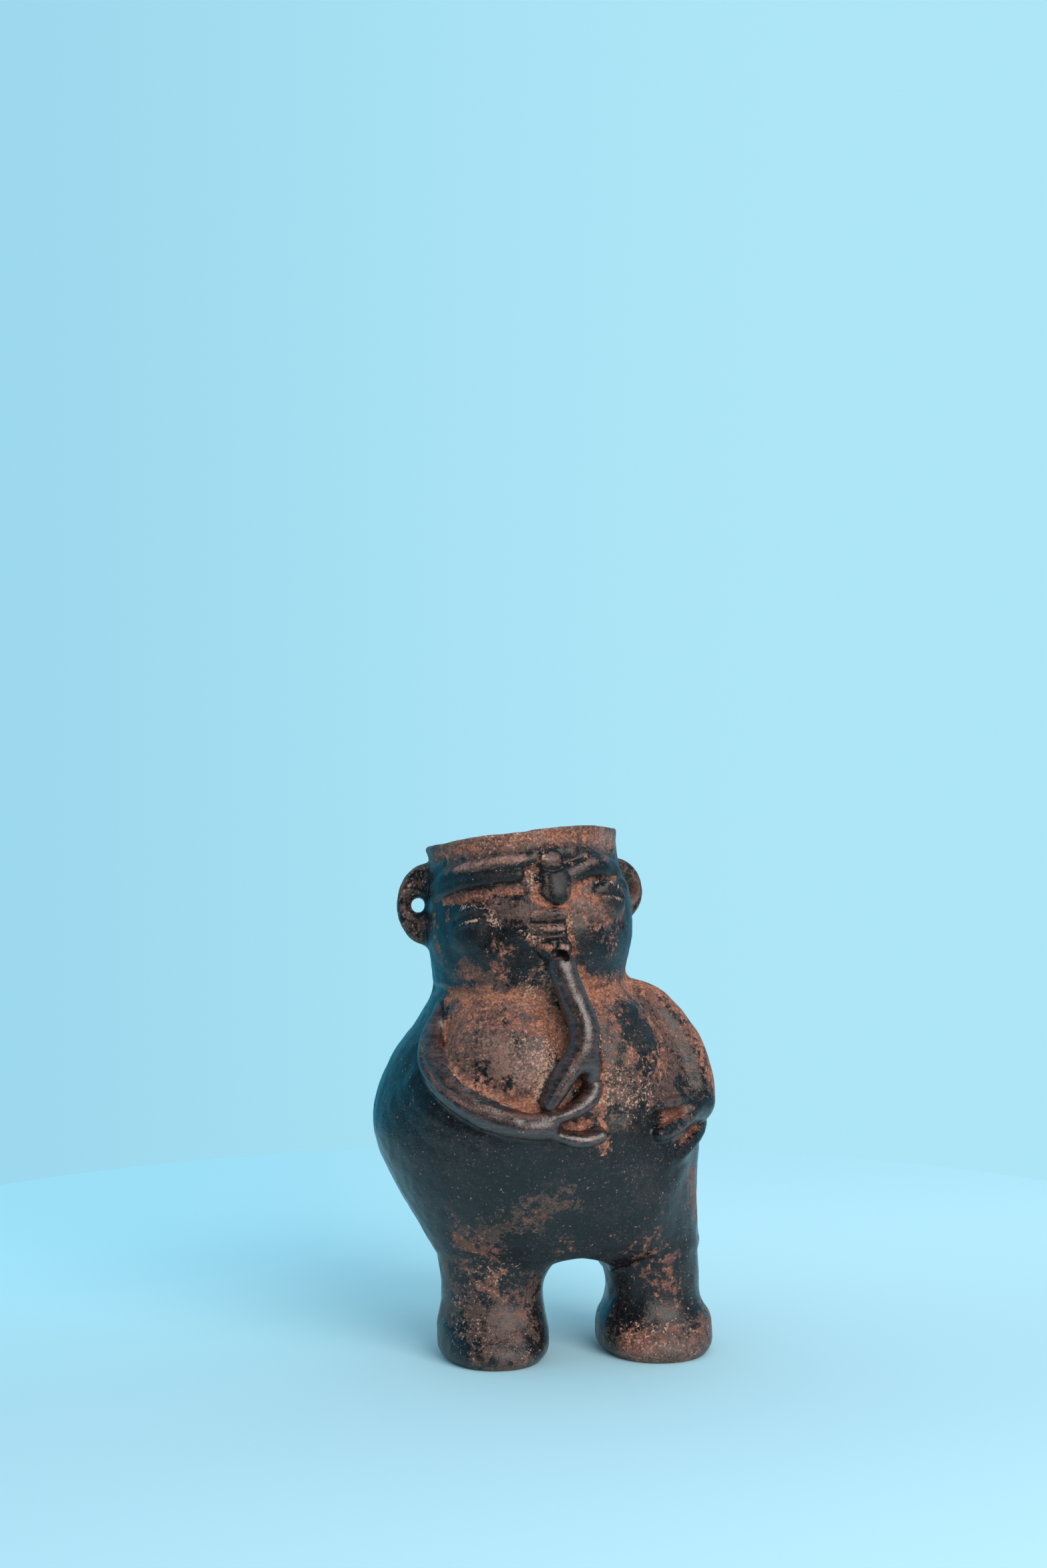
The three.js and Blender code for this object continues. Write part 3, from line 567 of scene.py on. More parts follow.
FEATURE_CUTS = [
    # slits of the eyes, and the pit under the left one
    (2, 3, (-53, 164.8, 2), (-45, 167, 3), (-39, 168, 3), (-33, 168.8, 1.8)),
    (1.6, -1.3, (-49, 171.2, 1), (-40, 171.4, 2.4), (-30, 169.8, 1.4)),
    (1.4, -0.7, (-51, 162.6, 2), (-43, 164.4, 3), (-35, 166, 2.4)),
    (2.2, 3.4, (29, 176.6, 1.6), (37, 176.2, 3.2), (47, 174.6, 2.4)),
    (1.6, -1.3, (29, 179.2, 1), (37, 179.2, 2), (45, 178, 1.6)),
    (1.4, -0.7, (31, 173.8, 2), (38, 173, 3), (45, 171.6, 2)),
    (1.6, 1.5, (52, 163.8), (52.5, 163)),
    # mouth
    (1.3, 1.8, (-8, 165, 1), (1, 165, 1.8), (9.6, 165.1, 1)),
    (1.2, 0.7, (0.4, 171.2, 1.6), (0.6, 169.8, 2.8)),
    # the two lobes of the chin, the hollow under them and the cracks round them
    (1.3, 1.2, (-9, 161.4, 0.6), (0, 160.6, 2.4), (9, 160.6, 1.8)),
    (2.4, -1.6, (-4, 158, 3), (-0.4, 157.6, 4.2)),
    (2.2, -1.6, (5.4, 157.8, 4.3), (8, 157.3, 3.8)),
    (1.2, 1.6, (2.6, 159, 4.4), (3.2, 156.6, 4.9)),
    (2.3, 2, (3, 155.4, 4.4), (6, 153.6, 5), (7.6, 152.4, 4.6)),
    # facets along the right arm and the flute
    (1.5, 0.7, (-60, 121.4, 3.6), (-52, 113.4, 5.6), (-40, 104.4, 6.4), (-28, 99, 6.8), (-16, 96.6, 6.8)),
    (1.6, 0.5, (-58, 114, 3.4), (-48, 106, 4.4), (-36, 99.6, 5), (-22, 94.8, 5), (-10, 92.6, 5)),
    (1.5, 0.5, (4.6, 146, 10.4), (6.6, 138, 13), (6, 128, 13.8), (4.4, 120, 12.4)),
    (1.2, 0.5, (3.4, 113, 11), (-0.6, 106, 8.8), (-4, 99, 6)),
    # burnishing folds under the right arm
    (2.4, 0.4, (-52, 99.4), (-41, 95.8), (-25, 91.6), (-8, 89), (0, 86)),
    (2.2, 0.25, (-44, 92.4), (-30, 88.4), (-16, 86.6)),
    # creases of the breast's lower side
    (1.7, 0.8, (-34, 117), (-31.6, 112.9), (-26.3, 107.5), (-19.4, 105)),
    # along the headband
    (0.9, 0.22, (-66, 181.2, 1), (-46, 184.8, 1.8), (-26, 187.8, 2.2), (-6, 189.8, 2.2)),
    # crack round the knob
    (1.1, 1.4, (-0.6, 190, 1.4), (-0.8, 187, 1.6), (1, 184.6, 2.4), (5.6, 183.4, 3), (10.4, 184.4, 2)),
]


def press(field, strokes):
    """Cuts each stroke into a field over the whole grid."""
    for width, depth, *path in strokes:
        points = path_points(path)
        part = part_of_grid(points.min(axis=0) - width, points.max(axis=0) + width)
        gap = polyline_distance(*coordinates(part), points)
        field[part] += depth * np.clip(1 - (gap / width) ** 2, 0, 1) ** 2


# The wall thins over the neck. Its lip flares on the figure's left half.
THIN_FROM_Z = NECK_Z - 4
THIN_TO_Z = NECK_Z + 6
LIP_FLARE = 0.8
LIP_FLARE_FROM_X = -34
LIP_FLARE_OVER = 40
LIP_DROP = 0.5
LIP_HEIGHT = 2.6
LIP_ROUND = 1.1
LEAN_COSINE = 0.99
FLOOR_ROUND = 4.0
BELLY_ROUND = 3.0
LEG_BLEND = 2.4
LEG_TOP_Z = FLOOR_Z + 4
LEG_TOP_ROUND = 3.0
LEGS_FIELD_TOP = FLOOR_Z + 12
BORE_BLEND = 3.0


def make_body():
    """The wall, the legs and the rim as one field, and the hollow inside them."""
    x, y, z = coordinates(WHOLE)
    wall = share_distance(oval_share(x, y, wall_sizes(z)), WHOLE)
    heights = (THIN_FROM_Z, THIN_TO_Z, COLLAR_Z, RIM_Z)
    thickness = np.interp(z, heights, (BELLY_THICKNESS, HEAD_THICKNESS, HEAD_THICKNESS, RIM_THICKNESS))
    hollow = smooth_max(wall + thickness.astype(np.float32), FLOOR_Z + FLOOR_THICKNESS - z, FLOOR_ROUND)
    press(wall, SWELLS)
    press(wall, CUTS)
    under_rim = rim_height(x, y) - z
    flare = LIP_FLARE * np.clip((x - LIP_FLARE_FROM_X) / LIP_FLARE_OVER, 0, 1)
    wall -= flare * np.exp(-((under_rim - LIP_DROP) / LIP_HEIGHT) ** 2)
    below_floor = ARCH_SLOPE * np.maximum(FLOOR_Z - z, 0)
    body = smooth_max(wall + below_floor, belly_bottom(x) - z, BELLY_ROUND)
    body = smooth_max(body, -under_rim * LEAN_COSINE, LIP_ROUND)
    low = part_of_grid(GRID_LOW, (GRID_HIGH[0], GRID_HIGH[1], LEGS_FIELD_TOP))
    legs = np.minimum(leg_distance(RIGHT_LEG, low), leg_distance(LEFT_LEG, low))
    legs = smooth_max(legs, coordinates(low)[2] - LEG_TOP_Z, LEG_TOP_ROUND)
    body[low] = smooth_min(body[low], legs, LEG_BLEND)
    for leg in (RIGHT_LEG, LEFT_LEG):
        hollow[low] = smooth_min(hollow[low], leg_bore(leg, low), BORE_BLEND)
    return body, hollow


# The bands of the wall from the ground up: the piece at the figure's right, at its left, and the top
COURSES = [
    ("right_foot", "left_foot", FOOT_HEIGHT),
    ("right_leg", "left_leg", FLOOR_Z),
    ("lower_body", "lower_body", BELLY_SEAM_Z),
    ("upper_body", "upper_body", NECK_Z),
    ("head_wall", "head_wall", COLLAR_Z),
    ("rim_collar", "rim_collar", math.inf),
]

# The pieces on the wall: the shape, the radius of its blend into the clay round it, and what the shape's
# function takes. A rod's stations are angle, height, half width, half depth, and how far out the middle
# line lies.
FEATURES = {
    "right_ear": (ear, 3, -103, NECK_Z + 30.7, 4.8, 15.4),
    "left_ear": (ear, 3, 110, NECK_Z + 35.3, 4, 12.4),
    "headband": (rod, 1.6, NECK_Z, [
        (-86, 37, 2, 1.4, 0), (-66, 41, 2.7, 2.2, 0.3), (-45, 45, 3, 2.8, 0.5),
        (-27, 47.4, 3, 2.8, 0.6), (-9, 49, 2.6, 2.2, 0.3), (10, 51.4, 2.4, 1.6, 0),
        (34, 50.6, 2.4, 1.5, 0), (58, 45.4, 2.2, 1.2, 0),
    ]),
    "right_brow": (rod, 1.3, NECK_Z, [
        (-82, 34, 2, 1.2, 0), (-60, 38.2, 2.6, 2.4, 0.4), (-38, 41.3, 2.8, 2.8, 0.6),
        (-12, 43.8, 2.3, 2.2, 0.2),
    ]),
    "left_brow": (rod, 1.8, NECK_Z, [
        (15, 43.6, 3.2, 2.2, 0.4), (29, 46, 4, 3, 0.6), (43, 46, 4, 3, 0.4), (60, 43, 3, 1.8, 0),
    ]),
    "forehead_knob": (dome, 0.6, 5.4, NECK_Z + 48.7, 4.7, 4.4, 3.4),
    "nose": (rod, 1.2, NECK_Z, [
        (8, 46, 4.8, 2.6, 0.3), (5.6, 40.6, 5.4, 3, 0.5), (3.4, 34.4, 5.1, 3.2, 0.7),
    ]),
    "right_eye": (dome, 1.6, -42, NECK_Z + 28.6, 7.6, 4.6, 3.3, 14),
    "left_eye": (dome, 1.4, 41, NECK_Z + 34, 7, 6.3, 3.5, -8),
    "upper_lip": (rod, 1, NECK_Z, [
        (-9, 28.8, 1.5, 1.8, 0.2), (-2, 29.4, 2.1, 2.9, 0.8), (3, 29.6, 2.1, 3.1, 0.9),
        (9.2, 29, 1.6, 2.5, 0.4),
    ]),
    "lower_lip": (rod, 0.9, NECK_Z, [
        (-5, 24.2, 1.2, 1.8, 0.1), (1.6, 24.2, 1.5, 3, 0.8), (8, 24.4, 1.3, 2.4, 0.4),
    ]),
    "chin_boss": (dome, 1.4, 3.6, NECK_Z + 17.2, 6.8, 5, 4.8),
    "flute": (rod, 1.2, BELLY_Z, [
        (5, 65, 6.2, 4.6, 3.4), (6.4, 60, 5.2, 5, 6), (9.6, 50, 5, 5, 8.6), (8.6, 40, 5, 5, 9),
        (7.4, 31, 4.8, 5, 7.6), (9, 24, 3.2, 3.6, 4.2), (10.4, 17.6, 2.2, 2.4, 2.2),
    ], True),
    "right_thumb": (rod, 2.2, BELLY_Z, [
        (7.6, 31.4, 4.4, 4.8, 7.2), (4.2, 26.4, 4.4, 5, 6.2), (0.8, 20.6, 3.9, 4.8, 4.8),
        (-2, 15, 3.2, 4, 3.4), (-5.6, 8.8, 2.2, 3, 2),
    ]),
    "right_upper_finger": (rod, 1.2, BELLY_Z, [
        (-8, 6.6, 2.4, 3.4, 2), (-1, 8, 2.3, 3.8, 2.6), (4.4, 10.4, 3, 4, 3), (9, 14, 3.7, 4, 3.2),
        (11, 18, 3.4, 3.2, 2.6),
    ]),
    "right_arm": (rod, 2, BELLY_Z, [
        (-69, 46, 2.6, 2, -0.8), (-63.5, 37, 3.9, 3.7, 0), (-55.5, 29, 4.5, 4.5, 0.8),
        (-47, 21.6, 4.5, 4.7, 1.3), (-38.5, 15.2, 4.5, 4.7, 1.6), (-28.5, 9.8, 4.5, 4.7, 1.8),
        (-19, 6.4, 4.5, 4.7, 2), (-9, 4.6, 4.3, 4.7, 2.2), (-3, 4.8, 3.8, 4.2, 2),
    ]),
    "right_lower_finger": (rod, 2, BELLY_Z, [
        (-4, 3, 1.6, 2, 0.8), (1, 0.6, 2.2, 2.8, 1.3), (7, -0.4, 2.9, 3.4, 1.7),
        (13.2, 1, 2.9, 3.2, 1.4),
    ]),
    "right_breast": (dome, 9, -23, BELLY_Z + 31, 17, 16, 3.8),
    "left_breast": (dome, 9, 29, BELLY_Z + 33, 13, 15, 3.2),
    "left_arm": (rod, 8, BELLY_Z, [
        (91, 47, 6, 3.8, -0.4), (84, 44.5, 8.4, 4.8, 3), (77, 36, 9, 5.2, 4.2),
        (73, 25, 9, 5.2, 4.6), (71, 14, 8.6, 5.2, 4.2), (70, 4, 6.4, 4.4, 2.4),
    ]),
    "left_hand": (rod, 5, BELLY_Z, [
        (72, 8, 5, 4.6, 1.8), (62, 7.4, 4.8, 4.4, 1.6), (53, 5.2, 3.8, 3.4, 0.8),
    ]),
    "left_finger_1": (rod, 1.6, BELLY_Z, [
        (60, 10, 1.8, 2.4, 1), (46, 10, 2.2, 3, 1.3), (35.5, 9.2, 1.9, 2.5, 0.9),
    ]),
    "left_finger_2": (rod, 2, BELLY_Z, [
        (57, 4, 2.2, 2.6, 1), (45, 1, 2.6, 3, 1.3), (34.5, -0.8, 2.2, 2.6, 1),
    ]),
    "left_finger_3": (rod, 2, BELLY_Z, [
        (76, 0.4, 2, 2.2, 0.8), (62, -4.4, 2.2, 2.6, 0.9), (45, -11, 1.8, 2, 0.4),
    ]),
}
# The broken hollow over the flute: angle, height, radii, how far out it lies, and the round of its edge
FLUTE_HOLE = (6.2, 153.6, (2.1, 3.0, 3.4), 5.0)
FLUTE_HOLE_ROUND = 0.8
MOUTH_ROUND = 1.0


def give_courses(number):
    """The piece of the wall's own courses at each grid point."""
    x, _, z = coordinates(WHOLE)
    owner = np.zeros([len(axis) for axis in AXES], dtype=np.int8)
    floor = -math.inf
    for right, left, top in COURSES:
        band = (z[0, 0] >= floor) & (z[0, 0] < top)
        side = np.where(x[:, :, 0] < ARCH_TOP_X, number[right], number[left])
        owner[:, :, band] = side[:, :, None]
        floor = top
    return owner


def sculpt():
    """The whole clay's field, and the number of the piece that owns each grid point."""
    body, hollow = make_body()
    names = list(dict.fromkeys([name for right, left, _ in COURSES for name in (right, left)]))
    number = {name: i + 1 for i, name in enumerate([*names, *FEATURES])}
    owner = give_courses(number)
    clay = body.copy()
    nearest = np.where(body <= 0, np.float32(-FAR), body)
    for name, (shape, blend, *sizes) in FEATURES.items():
        part, distance = shape(*sizes)
        clay[part] = smooth_min(clay[part], distance, blend)
        closer = distance < nearest[part]
        nearest[part] = np.where(closer, distance, nearest[part])
        owner[part] = np.where(closer, number[name], owner[part])
    press(clay, FEATURE_CUTS)
    angle, z, radii, out = FLUTE_HOLE
    part, hole = ellipsoid(angle, z, radii, out)
    clay[part] = smooth_max(clay[part], -hole, FLUTE_HOLE_ROUND)
    clay = smooth_max(clay, -hollow, MOUTH_ROUND)
    for name in ("right_leg", "left_leg", *FEATURES, "head_wall"):
        keep_largest(clay, owner, number[name])
    return clay, owner, number


def connected(held, start):
    """The points of a held region that can be reached from one of them."""
    reached = np.zeros_like(held)
    reached[start] = True
    count = 0
    while reached.sum() != count:
        count = reached.sum()
        for axis in range(3):
            line = np.moveaxis(reached, axis, 0)
            line[1:] |= line[:-1].copy()
            line[:-1] |= line[1:].copy()
            reached &= held
    return reached


def keep_largest(clay, owner, mine):
    """Gives the loose scraps of a piece to the pieces beside them."""
    held = (owner == mine) & (clay < 0)
    if not held.any():
        return
    part = tuple(slice(max(line.min() - 1, 0), line.max() + 2) for line in np.nonzero(held))
    held = held[part]
    deepest = np.unravel_index(np.argmin(np.where(held, clay[part], FAR)), held.shape)
    loose = held & ~connected(held, deepest)
    count = 0
    while loose.sum() != count:
        count = loose.sum()
        settled = (clay[part] < 0) & ~loose
        owners = owner[part].copy()
        for axis in range(3):
            for step in (1, -1):
                beside = loose & np.roll(settled, step, axis)
                owner[part][beside] = np.roll(owners, step, axis)[beside]
                loose &= ~beside


# Skin

def border_edges(held):
    """The grid's edges, along each axis, whose two ends belong to different pieces."""
    for axis in range(3):
        others = [i for i in range(3) if i != axis]
        line = np.moveaxis(held, axis, 0)
        spots = np.argwhere(line[:-1] != line[1:])
        index = np.empty_like(spots)
        index[:, [axis, *others]] = spots
        after = index.copy()
        after[:, axis] += 1
        yield axis, others, index, after


def cells_round(index, others):
    """The four cells round each edge, in order."""
    for back_1, back_2 in ((0, 0), (1, 0), (1, 1), (0, 1)):
        cell = index.copy()
        cell[:, others[0]] -= back_1
        cell[:, others[1]] -= back_2
        yield tuple(cell.T)


# How much an edge inside the clay counts for a point's place, beside one that crosses the skin
INNER_WEIGHT = 1e-4


def number_cells(held, edges):
    """The number of each cell beside a border's edges, and how many such cells there are."""
    beside = np.zeros([size - 1 for size in held.shape], dtype=bool)
    for _, others, index, _ in edges:
        for cell in cells_round(index, others):
            beside[cell] = True
    count = int(beside.sum())
    cell_number = np.full(beside.shape, -1, dtype=np.int32)
    cell_number[beside] = np.arange(count)
    return cell_number, count


def crossings(clay, axis, index, after, surface):
    """Where each edge is crossed: where the field is 0 on the surface, and half way inside the clay."""
    first, second = clay[tuple(index.T)], clay[tuple(after.T)]
    share = np.where(surface, first / np.where(surface, first - second, 1), 0.5)
    place = np.stack([AXES[i][index[:, i]] for i in range(3)], axis=1).astype(float)
    place[:, axis] += share * (AXES[axis][after[:, axis]] - AXES[axis][index[:, axis]])
    return place


def extract_skin(clay, owner):
    """The skin's points, one to a cell, and each piece's faces as corners into those points.

    It gives points, faces, each face's piece, whether a face is on the clay's surface, and whether a
    point is.
    """
    held = np.where(clay < 0, owner, 0).astype(np.int8)
    edges = list(border_edges(held))
    cell_number, count = number_cells(held, edges)
    total, weight = np.zeros((count, 3)), np.zeros(count)
    outer = np.zeros(count, dtype=bool)
    faces, owners, skin_faces = [], [], []
    for axis, others, index, after in edges:
        owner_1, owner_2 = held[tuple(index.T)], held[tuple(after.T)]
        surface = (owner_1 == 0) | (owner_2 == 0)
        place = crossings(clay, axis, index, after, surface)
        amount = np.where(surface, 1.0, INNER_WEIGHT)
        ring = [cell_number[cell] for cell in cells_round(index, others)]
        for numbers in ring:
            weight += np.bincount(numbers, amount, count)
            for i in range(3):
                total[:, i] += np.bincount(numbers, amount * place[:, i], count)
            outer[numbers[surface]] = True
        quad = np.stack(ring if axis == 1 else ring[::-1], axis=1)
        for side, corners in ((owner_1, quad[:, ::-1]), (owner_2, quad)):
            mine = side > 0
            faces.append(corners[mine])
            owners.append(side[mine])
            skin_faces.append(surface[mine])
    points = total / weight[:, None]
    return points, np.concatenate(faces), np.concatenate(owners), np.concatenate(skin_faces), outer


def skin_normals(points, faces):
    """Mean outward direction of the faces round each point."""
    diagonal_1 = points[faces[:, 2]] - points[faces[:, 0]]
    diagonal_2 = points[faces[:, 3]] - points[faces[:, 1]]
    across = np.cross(diagonal_1, diagonal_2)
    normals = np.zeros_like(points)
    for corner in range(4):
        for i in range(3):
            normals[:, i] += np.bincount(faces[:, corner], across[:, i], len(points))
    size = np.linalg.norm(normals, axis=1)
    return normals / np.maximum(size, 1e-9)[:, None]


def smooth_inside(points, faces, outer, rounds=3):
    """Evens out the faces between two pieces, which lie inside the clay."""
    for _ in range(rounds):
        total = np.zeros_like(points)
        count = np.zeros(len(points))
        for corner in range(4):
            for step in (1, 3):
                other = faces[:, (corner + step) % 4]
                count += np.bincount(faces[:, corner], minlength=len(points))
                for i in range(3):
                    total[:, i] += np.bincount(faces[:, corner], points[other, i], len(points))
        moved = total / np.maximum(count, 1)[:, None]
        points = np.where(outer[:, None], points, moved)
    return points


def sample(field, points):
    """Value of a field between the grid points."""
    base, share = [], []
    for axis in range(3):
        place = np.interp(points[:, axis], AXES[axis], np.arange(len(AXES[axis])))
        whole = np.minimum(place.astype(int), len(AXES[axis]) - 2)
        base.append(whole)
        share.append(place - whole)
    value = 0
    for i in (0, 1):
        for j in (0, 1):
            for k in (0, 1):
                corner = field[base[0] + i, base[1] + j, base[2] + k]
                part = (share[0] if i else 1 - share[0]) * (share[1] if j else 1 - share[1])
                value = value + corner * part * (share[2] if k else 1 - share[2])
    return value


def ripple(points, wavelength, waves, random):
    """Smooth unevenness between about -1 and 1, as a sum of waves in random directions."""
    total = np.zeros(len(points))
    for _ in range(waves):
        direction = unit(random.normal(size=3)) * 2 * math.pi / (wavelength * random.uniform(0.7, 1.5))
        total += np.sin(points @ direction + random.uniform(0, 2 * math.pi))
    return total / math.sqrt(waves)


# Colour of the clay
#
# Each layer lists strokes: the width, the strength and the stops. The material breaks their edges up.

RUST = [
    # moat and neck
    (5.6, 1, (-50, 126), (-49, 119), (-40, 110.6), (-31, 104.6), (-21, 100.4), (-10, 98.8)),
    (7, 0.66, (-42, 127), (-38, 118), (-27, 108), (-14, 104)),
    (4.5, 0.62, (-1, 102), (2, 112), (2, 122), (-1, 131)),
    (5.5, 0.58, (-6, 134), (-16, 136), (-28, 137), (-46, 134)),
    (9, 0.66, (-38, 128), (-20, 130), (-10, 126)),
    (5, 0.8, (-54, 126), (-47, 130), (-30, 133)),
    (8, 0.6, (-34, 118), (-20, 116)),
    (4.5, 0.72, (-62, 137.6), (-34, 139.5), (-4, 139)),
    # beside the flute, on the chest
    (4.5, 0.6, (15, 148), (27, 141), (22, 127), (16, 113), (13, 101)),
    (7, 0.58, (30, 136), (48, 137)),
    (11, 0.47, (28, 130), (26, 116), (46, 112), (52, 126)),
    # left arm
    (10, 0.8, (92, 136, 4), (82, 134, 7), (76, 122, 8), (74, 110, 8), (73, 101, 7)),
    (6, 0.64, (58, 134), (66, 138), (76, 142)),
    # left hand
    (3, 0.42, (52, 93), (42, 92.6), (60, 94)),
    (2.8, 0.34, (62, 86), (50, 83)),
    # right hand
    (2.6, 0.5, (6, 110, 1), (3.6, 105, 1), (1, 100.6, 1)),
    (2.6, 0.5, (2, 92.6), (6, 92.4), (10, 94)),
    (4, 0.5, (13, 120), (13, 104), (14, 94), (14, 84)),
    # face
    (2.4, 0.5, (-66, 172), (-50.5, 173.6), (-32.5, 175.6), (-13.4, 177.4)),
    (3, 0.52, (-5, 188.6), (-2, 186.2), (-9, 182.4), (-6, 180.2)),
    (2, 0.56, (-5, 178), (-4.6, 174.4), (-1.2, 171.8), (4, 171.4), (10, 172.6)),
    (2.5, 0.5, (-8, 175), (-4, 170.6)),
    (2.4, 0.56, (12, 174.6), (20, 179), (28, 181), (40, 181.6), (52, 180.4)),
    (4, 0.66, (14, 176), (22, 174), (31, 173)),
    (2.2, 0.6, (-12, 161), (-4, 157, 2), (-4, 157.6, 4)),
    (2, 0.8, (-3, 157.6, 5), (0, 157.2, 5.4)),
    (2, 0.52, (10.4, 169.5), (11, 164.7), (12.4, 159.8), (14, 152)),
    (6, 0.42, (18, 172), (28, 162)),
    (2.2, 0.5, (29, 175), (30, 169), (38, 165.4), (48, 165.6), (55, 170), (56, 176)),
    (6, 0.42, (44, 162), (42, 156)),
    (6, 0.55, (-48, 148), (-42, 147.6)),
    (5, 0.52, (-28, 148), (-22, 147)),
    (6, 0.4, (-34, 158), (-20, 155)),
    (1.5, 0.7, (-66, 178), (-48, 182), (-27, 184.6), (-9, 186)),
    (6, 0.45, (-78, 166), (-72, 152)),
    (3, 0.5, (-62, 168), (-60, 160)),
    (2, 0.55, (-4, 190), (0, 191.6), (12, 192.4)),
    (1.8, 0.5, (18, 186.6, 2.6), (32, 189, 2.4), (50, 188.4, 2)),
    # rim and ears
    (4, 0.55, (-80, 188), (-45, 192), (-20, 195), (10, 197), (40, 197)),
    (4, 0.5, (-103, 180, 6), (-103, 170, 11), (-103, 160, 6)),
    (4, 0.5, (110, 184, 6), (110, 174, 10)),
    # legs and the low belly
    (9, 0.27, (-12, 57), (-20, 60), (-4, 62)),
    (6, 0.32, (-2, 46), (20, 50), (34, 50)),
    (12, 0.38, (-44, 48), (-36, 34), (-20, 22)),
    (9, 0.36, (-80, 46), (-70, 30)),
    (12, 0.41, (24, 46), (28, 34), (40, 24)),
    (9, 0.52, (14, 9), (36, 6), (60, 8), (80, 12)),
    (9, 0.46, (60, 70), (74, 55)),
]
SOIL = [
    (7, 0.56, (-14, 121), (-7, 117), (-5, 108)),
    (5, 0.3, (-30, 126), (-22, 129)),
    (1.6, 0.4, (11.6, 167), (13, 160)),
    (3.5, 0.4, (-2, 148), (4, 143), (-10, 141)),
    (8, 0.24, (-40, 28), (-30, 34)),
    (8, 0.24, (-60, 22), (-45, 12), (-20, 8)),
    (9, 0.3, (20, 10), (44, 7), (70, 10)),
    (3, 0.3, (-55, 121), (-40, 107)),
    (6, 0.36, (84, 137), (80, 128), (80, 112)),
    (4, 0.28, (15, 130), (18, 112), (16, 98)),
    (4, 0.3, (-30, 194), (0, 197.5)),
    (4, 0.5, (-103, 182, 4), (-103, 176, 8)),
    (4, 0.5, (-103, 164, 8), (-103, 158, 5)),
    # tan deposit along the eyes' lids, which on each upper lid is also a painted highlight
    (1.6, 0.95, (-49, 170.8, 3), (-40, 170.8, 4.4), (-31, 169.6, 3)),
    (1.4, 0.95, (-54, 163.2, 3), (-45, 165.2, 4), (-37, 166.5, 3.6)),
    (1.6, 0.8, (29, 179, 2.6), (38, 178.6, 3.8), (45, 177.4, 3.4)),
    (1.2, 0.8, (30, 174.4, 3.4), (37, 173.9, 4), (45, 172.6, 4)),
    (1.6, 0.5, (1.4, 189, 3), (3, 190.6, 2.6)),
    (2, 1, (3, 151, 8.6), (6, 146, 10)),
    (0.8, 0.6, (-3, 164.2, 2), (8.6, 164.3, 2)),
    (3, 0.42, (-30, 167), (-26, 165)),
    (2.6, 0.5, (-8, 182.6), (-5, 179.6)),
    (1.6, 0.6, (-14, 162.6), (-8, 160), (-4.4, 157.4, 2)),
    (6, 0.27, (20, 110), (30, 104), (24, 96)),
]
BROWN = [
    # low belly, legs and feet
    (20, 0.45, (-90, 26), (-40, 20), (0, 20)),
    (16, 0.12, (0, 24), (40, 24), (90, 30)),
    (12, 0.74, (10, 4, 3), (44, 2, 3), (80, 4, 1)),
    (7, 0.34, (-20, 62), (-9, 63.6), (0, 66)),
    (7, 0.4, (-48, 50), (-34, 50), (-20, 51.6), (-12, 54)),
    # painted highlight on the lit front of the right foot's toes
    (7, 0.6, (-40, 3, 4), (-10, 3, 5), (4, 5, 4)),
    # brown round the back of the legs
    (28, 0.5, (180, 25), (150, 25), (-150, 25)),
    # rim, ears and forehead
    (7, 0.88, (-100, 192), (-45, 194), (0, 198), (50, 196), (90, 192)),
    (7, 0.6, (-103, 184, 4), (-103, 170, 10), (-103, 156, 5)),
    (7, 0.6, (110, 186, 4), (110, 174, 10), (110, 164, 4)),
    (4, 0.5, (-60, 184), (-30, 187.5), (0, 190), (26, 190)),
    # the left arm and the chest beside it
    (13, 0.8, (92, 138), (78, 128), (76, 112), (74, 98)),
    (8, 0.55, (60, 100), (52, 94), (44, 88)),
    (12, 0.5, (56, 130), (52, 112), (46, 100)),
    (10, 0.52, (30, 132), (22, 114), (20, 100)),
    # breast
    (15, 0.84, (-36, 124), (-26, 119), (-12, 114)),
    (8, 0.8, (-52, 132), (-30, 137), (-6, 137)),
    # face
    # painted highlight on the muzzle, beside the mouth
    (6, 0.56, (-28, 171), (-14, 168), (-6, 166)),
    # light brown on the cheek at the figure's left, the neck, the knob and beside the right brow
    (8, 0.8, (14, 175), (24, 172), (34, 169)),
    (5, 0.7, (14, 168), (22, 166)),
    (6, 0.45, (-60, 144), (-30, 145), (-4, 146)),
    (5, 0.5, (30, 143), (50, 143), (70, 145)),
    (3.8, 0.72, (3.4, 187.8, 3.4), (8, 188, 3.4)),
    (3, 0.5, (-60, 173), (-31, 176), (-8, 178.4)),
    # painted highlights on the upper lip, the lower lip and the chin's right lobe
    (2.4, 0.85, (-6, 168.6, 2), (9, 168.6, 2)),
    (1.2, 0.9, (-2, 163.2, 3), (7, 163.2, 3)),
    (2, 0.9, (5.4, 157.8, 5.6), (8, 157.3, 5)),
    # painted highlight along the lit ridges of the headband and the left brow
    (2.6, 0.9, (-50, 184.6, 3), (-26, 187.6, 3.4), (-10, 188.6, 2.6)),
    (1, 0.5, (-44, 182.6, 2.4), (-27, 185, 3), (-12, 186.4, 2.4)),
    (2, 0.72, (16, 183.6, 3.4), (28, 186.4, 3.4), (44, 187, 3)),
    # brown on the nose's left flank
    (2.2, 0.62, (1, 182, 3.4), (-0.6, 176, 3.4)),
    # brown along the tops of the right arm, the fingers and the flute: partly their own worn colour, partly
    # a painted sheen on their lit tops
    (2.8, 1.25, (-63, 123, 3), (-55.6, 116.4, 4.6), (-43.6, 106, 5.6), (-31.8, 100, 6),
     (-18.6, 96.8, 6.2), (-5.5, 96, 6)),
    (2.6, 1.1, (6, 148, 10), (9, 138, 13), (8.6, 128, 13.6), (7, 119, 12), (3, 112, 10), (-1, 104, 8)),
    (2.2, 1.1, (2, 97.6, 7), (8, 102, 7.4)),
    (2.2, 1.3, (4, 88.6, 4.6), (10, 88.4, 5), (13, 89, 4.6)),
]
